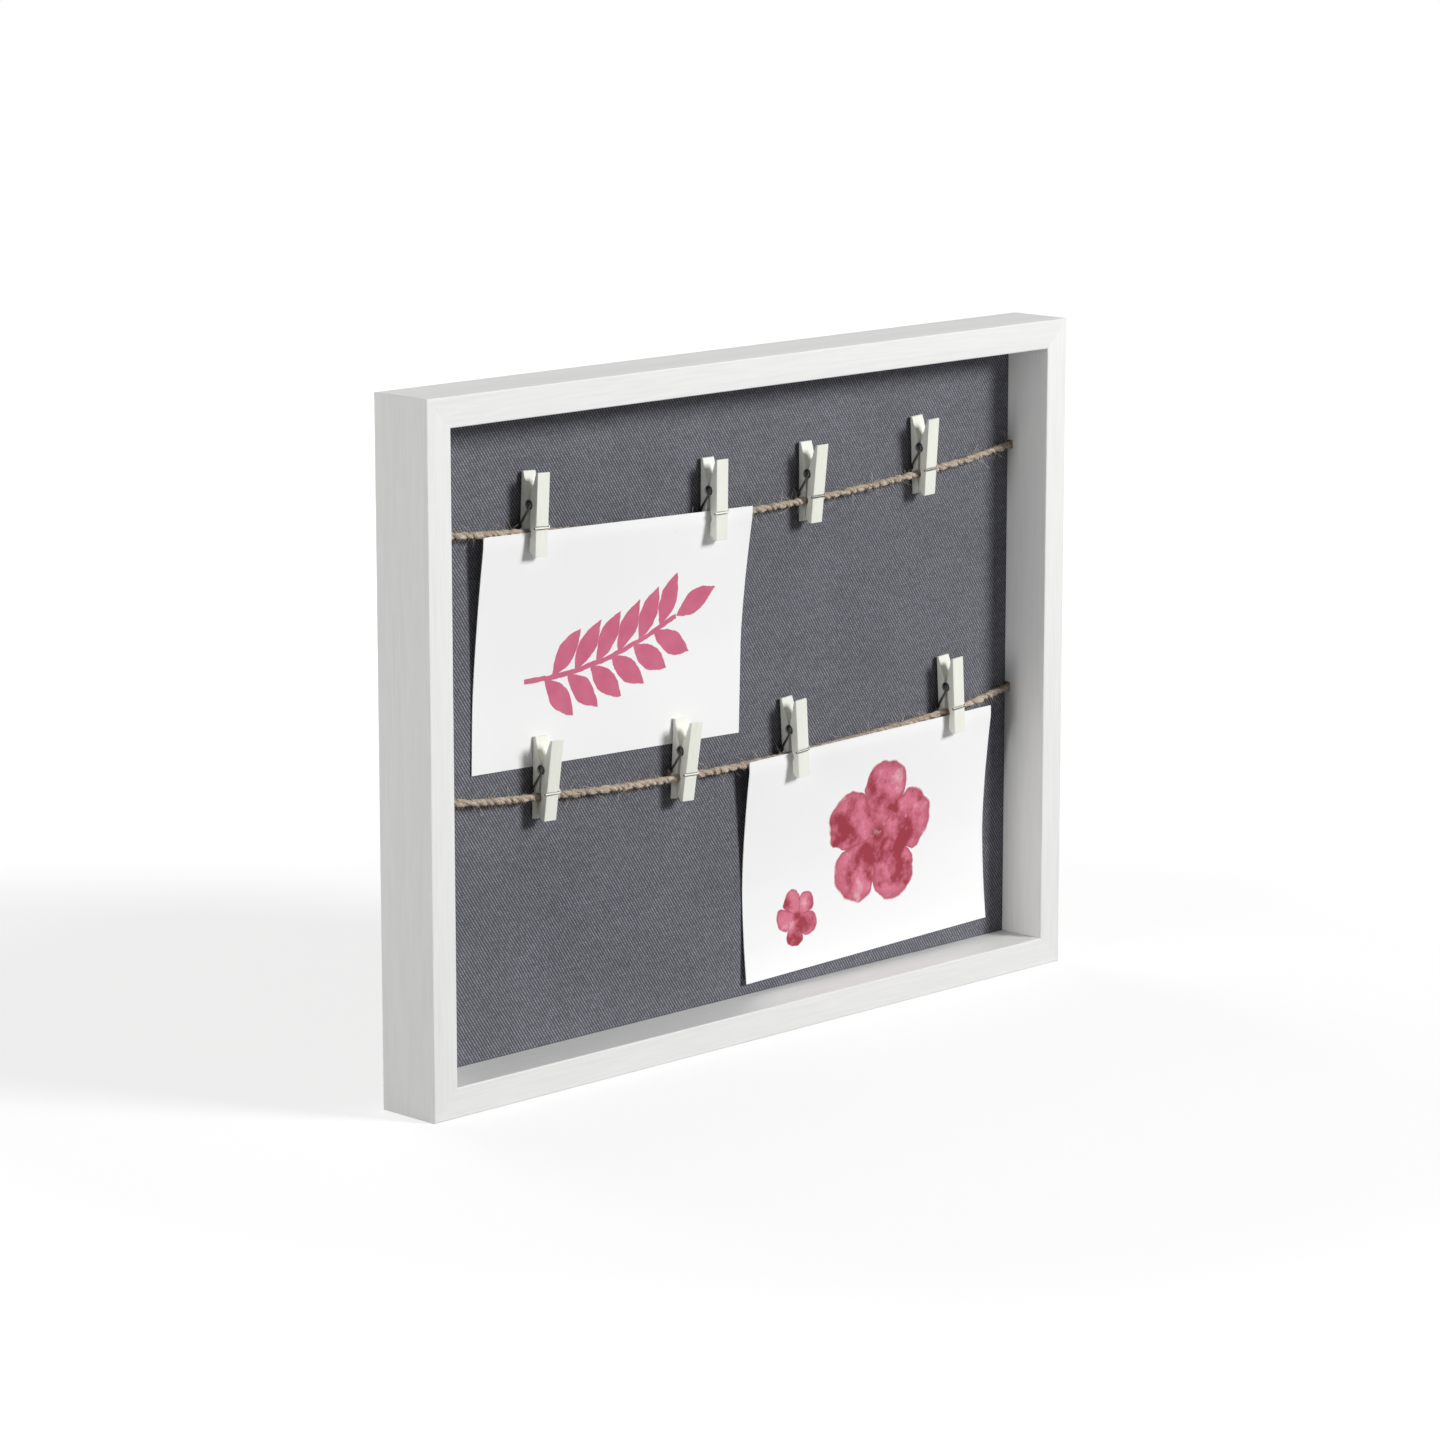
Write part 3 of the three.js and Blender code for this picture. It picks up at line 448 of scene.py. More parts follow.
def mitred(mesh):
    """The canvas with a slit along each corner of its hem, where the folded edges meet."""
    low, high = [Vector(corner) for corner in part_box("canvas_cover")]
    size = Matrix.Diagonal((CANVAS_HEM * math.sqrt(2), 2 * CANVAS_MITRE_DEPTH, CANVAS_MITRE_GAP, 1))
    holder = shown(mesh.name, mesh)
    slits = bmesh.new()
    for side in (-1, 1):
        for end in (-1, 1):
            corner = Vector((high.x if side > 0 else low.x, high.y, high.z if end > 0 else low.z))
            middle = corner - Vector((side, 0, end)) * (CANVAS_HEM / 2 + CANVAS_MITRE_GAP)
            lying = Matrix.Rotation(-side * end * math.pi / 4, 4, "Y")
            bmesh.ops.create_cube(slits, size=1, matrix=Matrix.Translation(middle) @ lying @ size)
    cutter_mesh = bpy.data.meshes.new("mitre_slits")
    slits.to_mesh(cutter_mesh)
    slits.free()
    cutter = shown("mitre_slits", cutter_mesh)
    cut = holder.modifiers.new("mitre", "BOOLEAN")
    cut.operation = "DIFFERENCE"
    cut.solver = "EXACT"
    cut.object = cutter
    finished = applied(holder)
    bpy.data.objects.remove(cutter)
    return finished


canvas_mesh = mitred(eased_copy("canvas_cover", CANVAS_EASE, CANVAS_SHORTEST_EASED))
canvas = new_piece("canvas_sheet", canvas_mesh, slate_canvas(), "frame")
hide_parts("canvas_cover")


# Panel points and hanger: flat steel points pushed into the rebate wall over the hem, and a toothed
# plate nailed to the back of the top rail, whose teeth catch on a wall nail.
STRIP_CRYSTALS = 500.0
NAIL_GREY = (0.3, 0.295, 0.285, 1)
NAIL_DARK = (0.17, 0.167, 0.16, 1)

point_steel = zinc_steel("zinc_plated_strip", STRIP_CRYSTALS)
blued_steel = zinc_steel("blued_hanger_nail", ZINC_CRYSTALS, NAIL_GREY, NAIL_DARK)
for corner in CORNERS:
    dress(f"panel_point_{corner}", point_steel)
for side in ("left", "right"):
    dress(f"panel_point_{side}_upper", point_steel)
    dress(f"panel_point_{side}_lower", point_steel)
    dress(f"hanger_nail_{side}", blued_steel)
dress("saw_tooth_hanger", point_steel)


# Twines: jute in two plies laid round each other, tucked behind the side lips before the panel is
# pressed in. They sag between the lips, and loose fibres stand out all along them.
TWINE_HALF_SPAN = 0.1862
CANVAS_FRONT = 0.00805
TWINE_SEAT = 0.0017
TWINE_STANDOFF = 0.004516
TWINE_DIP = 0.002
PATH_STEPS = 24
TWINE_SIZES = {"Ply Radius": 0.00114, "Ply Offset": 0.00062, "Turns per Metre": 100.0, "Step": 0.0005}
PLY_SIDES = 10
PLY_SWELLING = (0.8, 1.1)
PLY_SWELLING_SCALE = 210.0
TWINE_SLACK = (-2.2, 2.2)
TWINE_SLACK_SCALE = 110.0
TWINE_SLACK_FROM = (0.25, 0.75)
TWINE_TAN = (0.54, 0.43, 0.32, 1)
TWINE_PALE = (0.8, 0.725, 0.61, 1)
TWINE_BROWN = (0.2, 0.14, 0.088, 1)
TWINE_TONES = (0.8, 1.15)
TWINE_RELIEF = dict(strength=0.7, distance=0.0002)
JUTE_LAY = -500.0
JUTE_LENGTHWISE = 120.0
JUTE_FIBRES = dict(scale=3.2, detail=5, roughness=0.7)
JUTE_PATCHES = dict(scale=120.0, detail=2)
JUTE_BROWN_TO_TAN = (0.38, 0.5)
JUTE_TAN_TO_PALE = (0.5, 0.6)
FIBRE_PATCHES = dict(scale=300.0, detail=2)
FIBRE_TAN_TO_PALE = (0.35, 0.65)
FIBRE_SIZES = {"Fibres per Area": 420000.0, "Fibre Radius": 0.000032, "Fibre Reach": 0.0023}
FIBRE_BEND = {"Middle": (0.55, 0.1, 0.35), "End": (1.0, -0.25, 0.55)}
FIBRE_STEPS = 4
FIBRE_SIDES = 3
FIBRE_SHORTEST = 0.4
FIBRE_LONGER = 2.0
FIBRE_RARITY = 5.0
FIBRE_SPIN = {0: (-0.5, -0.7, 0), 1: (0.5, 0.5, 2 * math.pi), "Seed": 11}
FIBRE_PLACE_SEED = 7
FIBRE_SIZE_SEED = 3
TWINE_HEIGHTS = {"upper": 0.230, "lower": 0.118}
TWINE_BEHIND_CARD = {
    "upper": (-0.15, 0.011, 0.2375, 0.0019),
    "lower": (0.006, 0.167, 0.124, 0.0019),
}
TWINE_RUNS = {
    "upper": [
        (-1, 0.0105), (-0.913, 0.0092), (-0.806, 0.0077), (-0.644, 0.0055), (-0.483, 0.0032),
        (-0.322, 0.0013), (-0.161, 0.0003), (0, 0), (0.161, 0.0004), (0.322, 0.0014),
        (0.483, 0.003), (0.644, 0.0052), (0.806, 0.0079), (0.913, 0.0099), (1, 0.0116),
    ],
    "lower": [
        (-1, 0.012), (-0.913, 0.01), (-0.806, 0.0074), (-0.644, 0.0049), (-0.483, 0.0028),
        (-0.322, 0.0013), (-0.161, 0.0004), (0, 0.0001), (0.161, 0.0004), (0.322, 0.0013),
        (0.483, 0.0027), (0.644, 0.0043), (0.806, 0.0067), (0.913, 0.0089), (1, 0.0112),
    ],
}


def twine_path(run, height):
    """The smooth line through a twine's points, as the pegs and lips hold it."""
    standoffs = [TWINE_STANDOFF] * len(run)
    standoffs[0] = standoffs[-1] = TWINE_SEAT
    standoffs[1] = standoffs[-2] = TWINE_STANDOFF - TWINE_DIP
    points = [
        Vector((share * TWINE_HALF_SPAN, CANVAS_FRONT - standoff, height + rise))
        for (share, rise), standoff in zip(run, standoffs)
    ]
    ends = [2 * points[0] - points[1], *points, 2 * points[-1] - points[-2]]
    path = []
    for before, start, end, after in zip(ends, ends[1:], ends[2:], ends[3:]):
        for step in range(PATH_STEPS):
            t = step / PATH_STEPS
            bend = 2 * before - 5 * start + 4 * end - after
            turn = 3 * start - before - 3 * end + after
            path.append((2 * start + (end - before) * t + bend * t**2 + turn * t**3) / 2)
    return [*path, points[-1]]


def path_curve(name, path):
    """A curve object through the points."""
    curve = bpy.data.curves.new(name, "CURVE")
    curve.dimensions = "3D"
    spline = curve.splines.new("POLY")
    spline.points.add(len(path) - 1)
    spline.points.foreach_set("co", [value for point in path for value in (*point, 1)])
    return shown(name, curve)


def new_tree(name, sizes):
    """A geometry tree that takes a shape, named sizes and a material, and gives a shape."""
    sockets = dict(Geometry="Geometry", **dict.fromkeys(sizes, "Float"), Material="Material")
    return new_group(name, "Geometry", sockets, dict(Geometry="Geometry"))


def close_tree(tree, given, result, geometry):
    """The tree's last steps: smooth shading, real geometry and the material."""
    for kind in ("SetShadeSmooth", "RealizeInstances", "SetMaterial"):
        step = add(tree, f"GeometryNode{kind}", {"Geometry": geometry})
        geometry = step.outputs["Geometry"]
    feed(tree, step, {"Material": given["Material"]})
    feed(tree, result, {"Geometry": geometry})


def noted(tree, geometry, name, value):
    """The geometry with a named value on its points."""
    inputs = {"Geometry": geometry, "Name": name, "Value": value}
    return add(tree, "GeometryNodeStoreNamedAttribute", inputs, data_type="FLOAT").outputs["Geometry"]


def circle(tree, sides, radius):
    """A round profile."""
    inputs = {"Resolution": sides, "Radius": radius}
    return add(tree, "GeometryNodeCurvePrimitiveCircle", inputs).outputs["Curve"]


def swept(tree, curve, profile, **more):
    """A profile carried along a curve, with closed ends."""
    inputs = {"Curve": curve, "Profile Curve": profile, "Fill Caps": True, **more}
    return add(tree, "GeometryNodeCurveToMesh", inputs).outputs["Mesh"]


def grown(holder, tree, values, name):
    """The plain mesh that a tree makes from a holder, which is then removed."""
    modifier = holder.modifiers.new(tree.name, "NODES")
    modifier.node_group = tree
    for item in tree.interface.items_tree:
        if item.in_out == "INPUT" and item.name in values:
            modifier[item.identifier] = values[item.name]
    mesh = applied(holder)
    mesh.name = name
    return mesh


def laid_twine_tree():
    """Two round plies turning about a path, with a lay that their fibres follow."""
    tree, given, result = new_tree("laid_twine", TWINE_SIZES)
    step = {"Curve": given["Geometry"], "Length": given["Step"]}
    evenly = add(tree, "GeometryNodeResampleCurve", step, mode="LENGTH").outputs["Curve"]
    along = tree.nodes.new("GeometryNodeSplineParameter").outputs["Length"]
    spot = tree.nodes.new("GeometryNodeInputPosition").outputs["Position"]
    turns = maths(tree, "MULTIPLY", along, given["Turns per Metre"])
    slack = spread(tree, noise(tree, spot, TWINE_SLACK_SCALE), *TWINE_SLACK_FROM, *TWINE_SLACK)
    tilt = {"Curve": evenly, "Tilt": maths(tree, "MULTIPLY_ADD", turns, 2 * math.pi, slack)}
    tilted = add(tree, "GeometryNodeSetCurveTilt", tilt).outputs["Curve"]
    plies = tree.nodes.new("GeometryNodeJoinGeometry")
    for side in (-1, 1):
        offset = {"X": maths(tree, "MULTIPLY", given["Ply Offset"], side)}
        aside = add(tree, "ShaderNodeCombineXYZ", offset).outputs["Vector"]
        ring = {"Geometry": circle(tree, PLY_SIDES, given["Ply Radius"]), "Translation": aside}
        moved = add(tree, "GeometryNodeTransform", ring).outputs["Geometry"]
        around = tree.nodes.new("GeometryNodeSplineParameter").outputs["Factor"]
        feed(tree, plies, {"Geometry": noted(tree, moved, "around", around)})
    swelling = spread(tree, noise(tree, spot, PLY_SWELLING_SCALE), *NOISE_MIDDLE, *PLY_SWELLING)
    line = noted(tree, tilted, "along", along)
    strands = swept(tree, line, plies.outputs["Geometry"], Scale=swelling)
    close_tree(tree, given, result, strands)
    return tree


def loose_fibres_tree():
    """Short bent hairs that stand out of a surface at random places."""
    tree, given, result = new_tree("loose_fibres", FIBRE_SIZES)
    places = {"Mesh": given["Geometry"], "Density": given["Fibres per Area"], "Seed": FIBRE_PLACE_SEED}
    spots = add(tree, "GeometryNodeDistributePointsOnFaces", places).outputs
    bend = {"Resolution": FIBRE_STEPS, "Start": (0, 0, 0)}
    for label, direction in FIBRE_BEND.items():
        reach = {0: direction, "Scale": given["Fibre Reach"]}
        bend[label] = add(tree, "ShaderNodeVectorMath", reach, operation="SCALE").outputs["Vector"]
    hair = add(tree, "GeometryNodeCurveQuadraticBezier", bend).outputs["Curve"]
    strand = swept(tree, hair, circle(tree, FIBRE_SIDES, given["Fibre Radius"]))
    size = add(tree, "FunctionNodeRandomValue", {"Seed": FIBRE_SIZE_SEED}, data_type="FLOAT").outputs[1]
    few_long = maths(tree, "POWER", size, FIBRE_RARITY)
    planting = {
        "Points": spots["Points"],
        "Rotation": spots["Rotation"],
        "Instance": strand,
        "Scale": maths(tree, "MULTIPLY_ADD", few_long, FIBRE_LONGER, FIBRE_SHORTEST),
    }
    planted = add(tree, "GeometryNodeInstanceOnPoints", planting).outputs["Instances"]
    spin = add(tree, "FunctionNodeRandomValue", FIBRE_SPIN, data_type="FLOAT_VECTOR").outputs[0]
    turn = {"Instances": planted, "Rotation": spin, "Local Space": True}
    turned = add(tree, "GeometryNodeRotateInstances", turn).outputs["Instances"]
    close_tree(tree, given, result, turned)
    return tree


def stored(tree, name):
    """A named value that the shape carries."""
    return add(tree, "ShaderNodeAttribute", {}, attribute_name=name).outputs["Fac"]


def jute_plies():
    """Jute seen close: pale and brown fibres that run along each ply."""
    material, tree, shader = new_material("jute_plies")
    along = stored(tree, "along")
    laid = maths(tree, "MULTIPLY", along, JUTE_LAY)
    angle = maths(tree, "MULTIPLY_ADD", stored(tree, "around"), 2 * math.pi, laid)
    lay = {
        "X": maths(tree, "COSINE", angle),
        "Y": maths(tree, "SINE", angle),
        "Z": maths(tree, "MULTIPLY", along, JUTE_LENGTHWISE),
    }
    lay = add(tree, "ShaderNodeCombineXYZ", lay).outputs["Vector"]
    fibres = noise(tree, lay, **JUTE_FIBRES)
    patches = noise(tree, stretched(tree), **JUTE_PATCHES)
    tan = mixed(tree, spread(tree, fibres, *JUTE_BROWN_TO_TAN), TWINE_BROWN, TWINE_TAN)
    pale = mixed(tree, spread(tree, fibres, *JUTE_TAN_TO_PALE), tan, TWINE_PALE)
    uneven = toned(tree, pale, spread(tree, patches, *NOISE_MIDDLE, *TWINE_TONES))
    feed(tree, shader, {
        "Base Color": uneven, "Roughness": 0.85, "Specular IOR Level": 0.15, "Sheen Weight": 0.2
    })
    bumped(tree, shader, fibres, **TWINE_RELIEF)
    return material


def jute_fibre():
    """A single loose fibre, a little paler than the twine."""
    material, tree, shader = new_material("jute_fibre")
    patches = noise(tree, stretched(tree), **FIBRE_PATCHES)
    straw = mixed(tree, spread(tree, patches, *FIBRE_TAN_TO_PALE), TWINE_TAN, TWINE_PALE)
    feed(tree, shader, {"Base Color": straw, "Roughness": 0.8})
    return material


def pressed_back(mesh, from_x, to_x, below, card_back):
    """Moves the fibres behind a card back to its rear face."""
    ends = np.empty(len(mesh.vertices) * 3)
    mesh.vertices.foreach_get("co", ends)
    ends = ends.reshape(-1, 3)
    behind = (ends[:, 0] > from_x) & (ends[:, 0] < to_x) & (ends[:, 2] < below)
    ends[behind, 1] = np.maximum(ends[behind, 1], card_back)
    mesh.vertices.foreach_set("co", ends.ravel())


laid_twine = laid_twine_tree()
loose_fibres = loose_fibres_tree()
ply_jute = jute_plies()
fibre_jute = jute_fibre()
for place, run in TWINE_RUNS.items():
    path = twine_path(run, TWINE_HEIGHTS[place])
    holder = path_curve(f"twine_{place}_path", path)
    mesh = grown(holder, laid_twine, {**TWINE_SIZES, "Material": ply_jute}, f"laid_twine_{place}")
    twine = new_piece(f"laid_twine_{place}", mesh, ply_jute, "frame")
    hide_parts(f"twine_{place}")
    holder = shown(f"twine_{place}_surface", mesh.copy())
    mesh = grown(holder, loose_fibres, {**FIBRE_SIZES, "Material": fibre_jute}, f"twine_fibres_{place}")
    pressed_back(mesh, *TWINE_BEHIND_CARD[place])
    fuzz = new_piece(f"twine_fibres_{place}", mesh, fibre_jute, "frame")


# Pegs: small clothes pegs of beech, dipped in off-white paint. Each has two legs that rock on a coil
# spring, whose arms hook over a groove in each leg and press the jaws on the twine.
PEG_EASE = 0.00028
PEG_SHORTEST_EASED = 0.0012
PEG_EASE_STEPS = 2
PEG_CREAM = (0.9, 0.91, 0.825, 1)
PEG_COLOURS = dict(Paint=PEG_CREAM, Shade=(0.84, 0.85, 0.765, 1))
PEG_GRAIN = (1, 1, 0.12)
PEG_MARKS = dict(Streaks=1500.0, Patches=130.0, Smooth=0.5, Rough=0.68)
PEG_RELIEF = dict(strength=0.3, distance=0.00025)
PEG_LENGTH = 0.035
PEG_WIDTH = 0.007
PEG_TIP = -0.0216
PEG_HANDLE_DEPTH = 0.0114
PEG_TIP_DEPTH = 0.0076
WIRE = 0.0009
WIRE_SIDES = 10
COIL_RADIUS = 0.00155
COIL_FULL_TURNS = 4
COIL_STEPS_PER_TURN = 24
GROOVE_HEIGHT = -0.0098
GROOVE_DEPTH = 0.001
WIRE_CLEARANCE = 0.0003
HOOK_BEND = 0.0007
HOOK_STEPS = 6
CARD_OPENS_PEG = math.radians(6)
CARD_PEGS = ("peg_1", "peg_2", "peg_7", "peg_8")
WIRE_GREY = (0.13, 0.128, 0.122, 1)
WIRE_DARK = (0.05, 0.049, 0.047, 1)
WIRE_MARKS = 2500.0
WIRE_GLOSS = (0.4, 0.55)
WIRE_RELIEF = dict(strength=0.2, distance=0.0001)
# On the front hook, only the face turned up and forward is cream. The dark steel left on its lower face
# is painted shade for the groove. How much stays bare differs from peg to peg, as paint rubbed off.
WIRE_PAINT_STARTS = (0.86, 0.89)
WIRE_PAINT_TO_SHADE_EDGE = (0.0, 0.1)
WIRE_PAINTED_UNSHADED_SIDE = (0, -0.85, 0.53)
WIRE_BARE = {
    "peg_1": 0.4, "peg_2": 0.35, "peg_3": 0.95, "peg_4": 0.95,
    "peg_5": 0.55, "peg_6": 0.55, "peg_7": 0.9, "peg_8": 0.9,
}


def drawn_wire():
    """Dark drawn wire with fine marks along it. The hook over the front leg is cream on its upper front
    face and dark below as painted shade.
    """
    material, tree, shader = new_material("drawn_spring_wire")
    steel = dict(Light=WIRE_GREY, Dark=WIRE_DARK, Crystals=WIRE_MARKS)
    zinc = placed(tree, zinc_crystals, Vector=stretched(tree), **steel)
    # Cream where the wire faces up and forward. Below that it stays dark as painted shade in the groove.
    turned = {0: tree.nodes.new("ShaderNodeTexCoord").outputs["Normal"], 1: WIRE_PAINTED_UNSHADED_SIDE}
    facing = add(tree, "ShaderNodeVectorMath", turned, operation="DOT_PRODUCT").outputs["Value"]
    over = maths(tree, "SUBTRACT", facing, stored(tree, "bare"))
    front = spread(tree, over, *WIRE_PAINT_TO_SHADE_EDGE)
    hook = spread(tree, stored(tree, "along"), *WIRE_PAINT_STARTS)
    paint = maths(tree, "MULTIPLY", front, hook)
    feed(tree, shader, {
        "Base Color": mixed(tree, paint, zinc["Color"], PEG_CREAM),
        "Roughness": spread(tree, paint, 0, 1, *WIRE_GLOSS),
        "Metallic": maths(tree, "SUBTRACT", 1.0, paint),
    })
    bumped(tree, shader, zinc["Height"], **WIRE_RELIEF)
    return material


def peg_face(height):
    """Half a peg's depth at a height above its coil."""
    share = (height - PEG_TIP) / PEG_LENGTH
    return (PEG_TIP_DEPTH + (PEG_HANDLE_DEPTH - PEG_TIP_DEPTH) * share) / 2


def spring_path(opened):
    """The wire's line in the peg's own frame: rear hook, rear arm, coil, front arm and front hook."""
    side = PEG_WIDTH / 2 + WIRE_CLEARANCE + WIRE / 2
    hook_y = peg_face(GROOVE_HEIGHT) - GROOVE_DEPTH + WIRE_CLEARANCE + WIRE / 2
    reach = math.hypot(hook_y, GROOVE_HEIGHT)
    start = math.atan2(GROOVE_HEIGHT, hook_y) - math.acos(COIL_RADIUS / reach)
    end = math.pi - start - opened - 2 * math.pi * (COIL_FULL_TURNS + 1)
    steps = round((start - end) / (2 * math.pi) * COIL_STEPS_PER_TURN)
    coil = []
    for step in range(steps + 1):
        angle = start + (end - start) * step / steps
        across = -side + 2 * side * step / steps
        coil.append(Vector((across, COIL_RADIUS * math.cos(angle), COIL_RADIUS * math.sin(angle))))

    def hook(sign):
        """The end of an arm, bent round into one leg's groove."""
        corner = Vector((-side * sign, hook_y * sign, GROOVE_HEIGHT))
        up = Vector((0, -hook_y * sign, -GROOVE_HEIGHT)).normalized()
        inward = Vector((sign, 0, 0))
        bend = []
        for step in range(HOOK_STEPS + 1):
            turn = math.pi / 2 * step / HOOK_STEPS
            bend.append(corner + HOOK_BEND * ((1 - math.sin(turn)) * inward + (1 - math.cos(turn)) * up))
        return [corner + 2 * side * inward, *bend]

    opening = Matrix.Rotation(-opened, 3, "X")
    front = [opening @ point for point in hook(-1)]
    return [*hook(1), *coil, *front[::-1]]


def wire_tree():
    """Round wire along a path, which notes the place along it and how much of it is bare."""
    tree, given, result = new_tree("round_wire", ("Wire Radius", "Bare"))
    place = tree.nodes.new("GeometryNodeSplineParameter").outputs["Factor"]
    line = noted(tree, given["Geometry"], "along", place)
    line = noted(tree, line, "bare", given["Bare"])
    wire = swept(tree, line, circle(tree, WIRE_SIDES, given["Wire Radius"]))
    close_tree(tree, given, result, wire)
    return tree


cream_paint = painted("off_white_peg_paint", PEG_GRAIN, PEG_RELIEF, **PEG_COLOURS, **PEG_MARKS)
spring_wire = drawn_wire()
round_wire = wire_tree()
peg_lean = math.atan((PEG_HANDLE_DEPTH - PEG_TIP_DEPTH) / 2 / PEG_LENGTH)
hinges = {
    joint["child"].removesuffix("_front"): joint
    for joint in frame["record"]["behaviour"]["joints"]
    if joint["type"] == "hinge"
}
for peg, hinge in hinges.items():
    across = -Vector(hinge["axis"])
    upright = across.cross(Vector((0, 1, 0)))
    turned = Matrix((across, Vector((0, 1, 0)), upright)).transposed()
    in_peg = Matrix.Translation(hinge["pos_m"]) @ (turned @ Matrix.Rotation(peg_lean, 3, "X")).to_4x4()
    for leg, body in (("rear_leg", peg), ("front_leg", f"{peg}_front")):
        mesh = eased_copy(f"{peg}_{leg}", PEG_EASE, PEG_SHORTEST_EASED, PEG_EASE_STEPS)
        piece = new_piece(f"{peg}_painted_{leg}", mesh, cream_paint, body)
        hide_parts(f"{peg}_{leg}")
    opened = CARD_OPENS_PEG if peg in CARD_PEGS else 0.0
    holder = path_curve(f"{peg}_wire_path", [in_peg @ point for point in spring_path(opened)])
    sizes = {"Wire Radius": WIRE / 2, "Bare": WIRE_BARE[peg], "Material": spring_wire}
    mesh = grown(holder, round_wire, sizes, f"{peg}_wire_spring")
    spring = new_piece(f"{peg}_wire_spring", mesh, spring_wire, None)
    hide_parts(f"{peg}_spring")
    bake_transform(spring)


# Cards: two prints on stiff white card, each gripped by two pegs. The pegs hold the top edge off the
# canvas, and the card bends back until it rests on the weave.
CARD_THICKNESS = 0.0003
CARD_COLUMNS = 24
CARD_ROWS = 60
CARD_STANDOFF = 0.006366
CARD_REST = 0.0006
CARD_STRAIGHT_TOP = 0.0045
CARD_BEND_POWER = 1.5
CARD_WHITE = (0.96, 0.96, 0.96, 1)
CARD_BACK = (0.9, 0.9, 0.895, 1)
CARD_ROUGHNESS = 0.55
CARD_RELIEF = dict(strength=0.08, distance=0.0001)
CARD_TOOTH = 1500.0
CARD_CLOUD = dict(scale=40.0, detail=2)
CARDS = {
    "upper": dict(
        x=-0.0697, top=0.23455, width=0.158, height=0.1005, turn=-1.5, settles=0.069, skew=0.007, lift=0.0
    ),
    "lower": dict(
        x=0.0866, top=0.121, width=0.158, height=0.101, turn=1.3, settles=0.06, skew=0.0, lift=0.0018
    ),
}
SPRIG_PINK = (0.565, 0.098, 0.19, 1)
SPRIG_LIGHT = (0.63, 0.145, 0.247, 1)
SPRIG_BRUSH = (160.0, 0.0022)
SPRIG_CLOUD = 90.0
SPRIG_TONES = (0.3, 0.75)
STROKE_EDGE = 0.00025
STEM_AT = (0.0, -0.008, 14.0)
STEM_BOW = 2.7
STEM_FROM = -0.05
STEM_TO = 0.04
STEM_HALF_WIDTH = 0.0013
LEAF_PAIRS = 6
LEAF_FIRST = 1.2
LEAF_STAGGER = 0.004
LEAF_LENGTH = 0.025
LEAF_WIDTH = 0.0105
LEAF_ANGLE = 48
BLOSSOM_CRIMSON = (0.3, 0.01, 0.03, 1)
BLOSSOM_ROSE = (0.67, 0.165, 0.255, 1)
BLOSSOM_PALE = (0.9, 0.62, 0.66, 1)
BLOSSOM_BRUSH = (110.0, 0.005)
BLOSSOM_CLOUD = dict(scale=60.0, detail=5, roughness=0.6)
BLOSSOMS = [(0.008, 0.002, 0.035, 10), (-0.045, -0.026, 0.0135, 40)]
PETALS = 5
PETAL_ROUNDNESS = 0.55
PETAL_NOTCH = 0.62
PETAL_EDGE = (0.0, 0.03)
PETAL_RIM = (0.16, 0.02)
PETAL_RIM_WASH = 0.55
PETAL_SEAM = (0.25, 0.0)
PETAL_SEAM_WASH = 0.75
PETAL_DARK = (0.45, 0.58)
PETAL_THIN = (0.42, 0.3)
PETAL_THIN_WASH = 0.75
EYE_OUTER = 0.22
EYE_INNER = 0.08
SPLASH_CELLS = 110.0
SPLASH_SHARE = 0.2
SPLASH_SIZE = 0.13
SPLASH_AT = (-0.004, -0.004, 0)
SPLASH_REACH = 0.036


def card_standoff(card, across, below):
    """A card's distance from the canvas at a share across it and a distance below its top."""
    settles = card["settles"] - card["skew"] * across
    if below < settles:
        bent = max(0.0, below - CARD_STRAIGHT_TOP) / (settles - CARD_STRAIGHT_TOP)
        return CARD_REST + (CARD_STANDOFF - CARD_REST) * (1 - bent) ** CARD_BEND_POWER
    return CARD_REST + card["lift"] * ((below - settles) / (card["height"] - settles)) ** 2


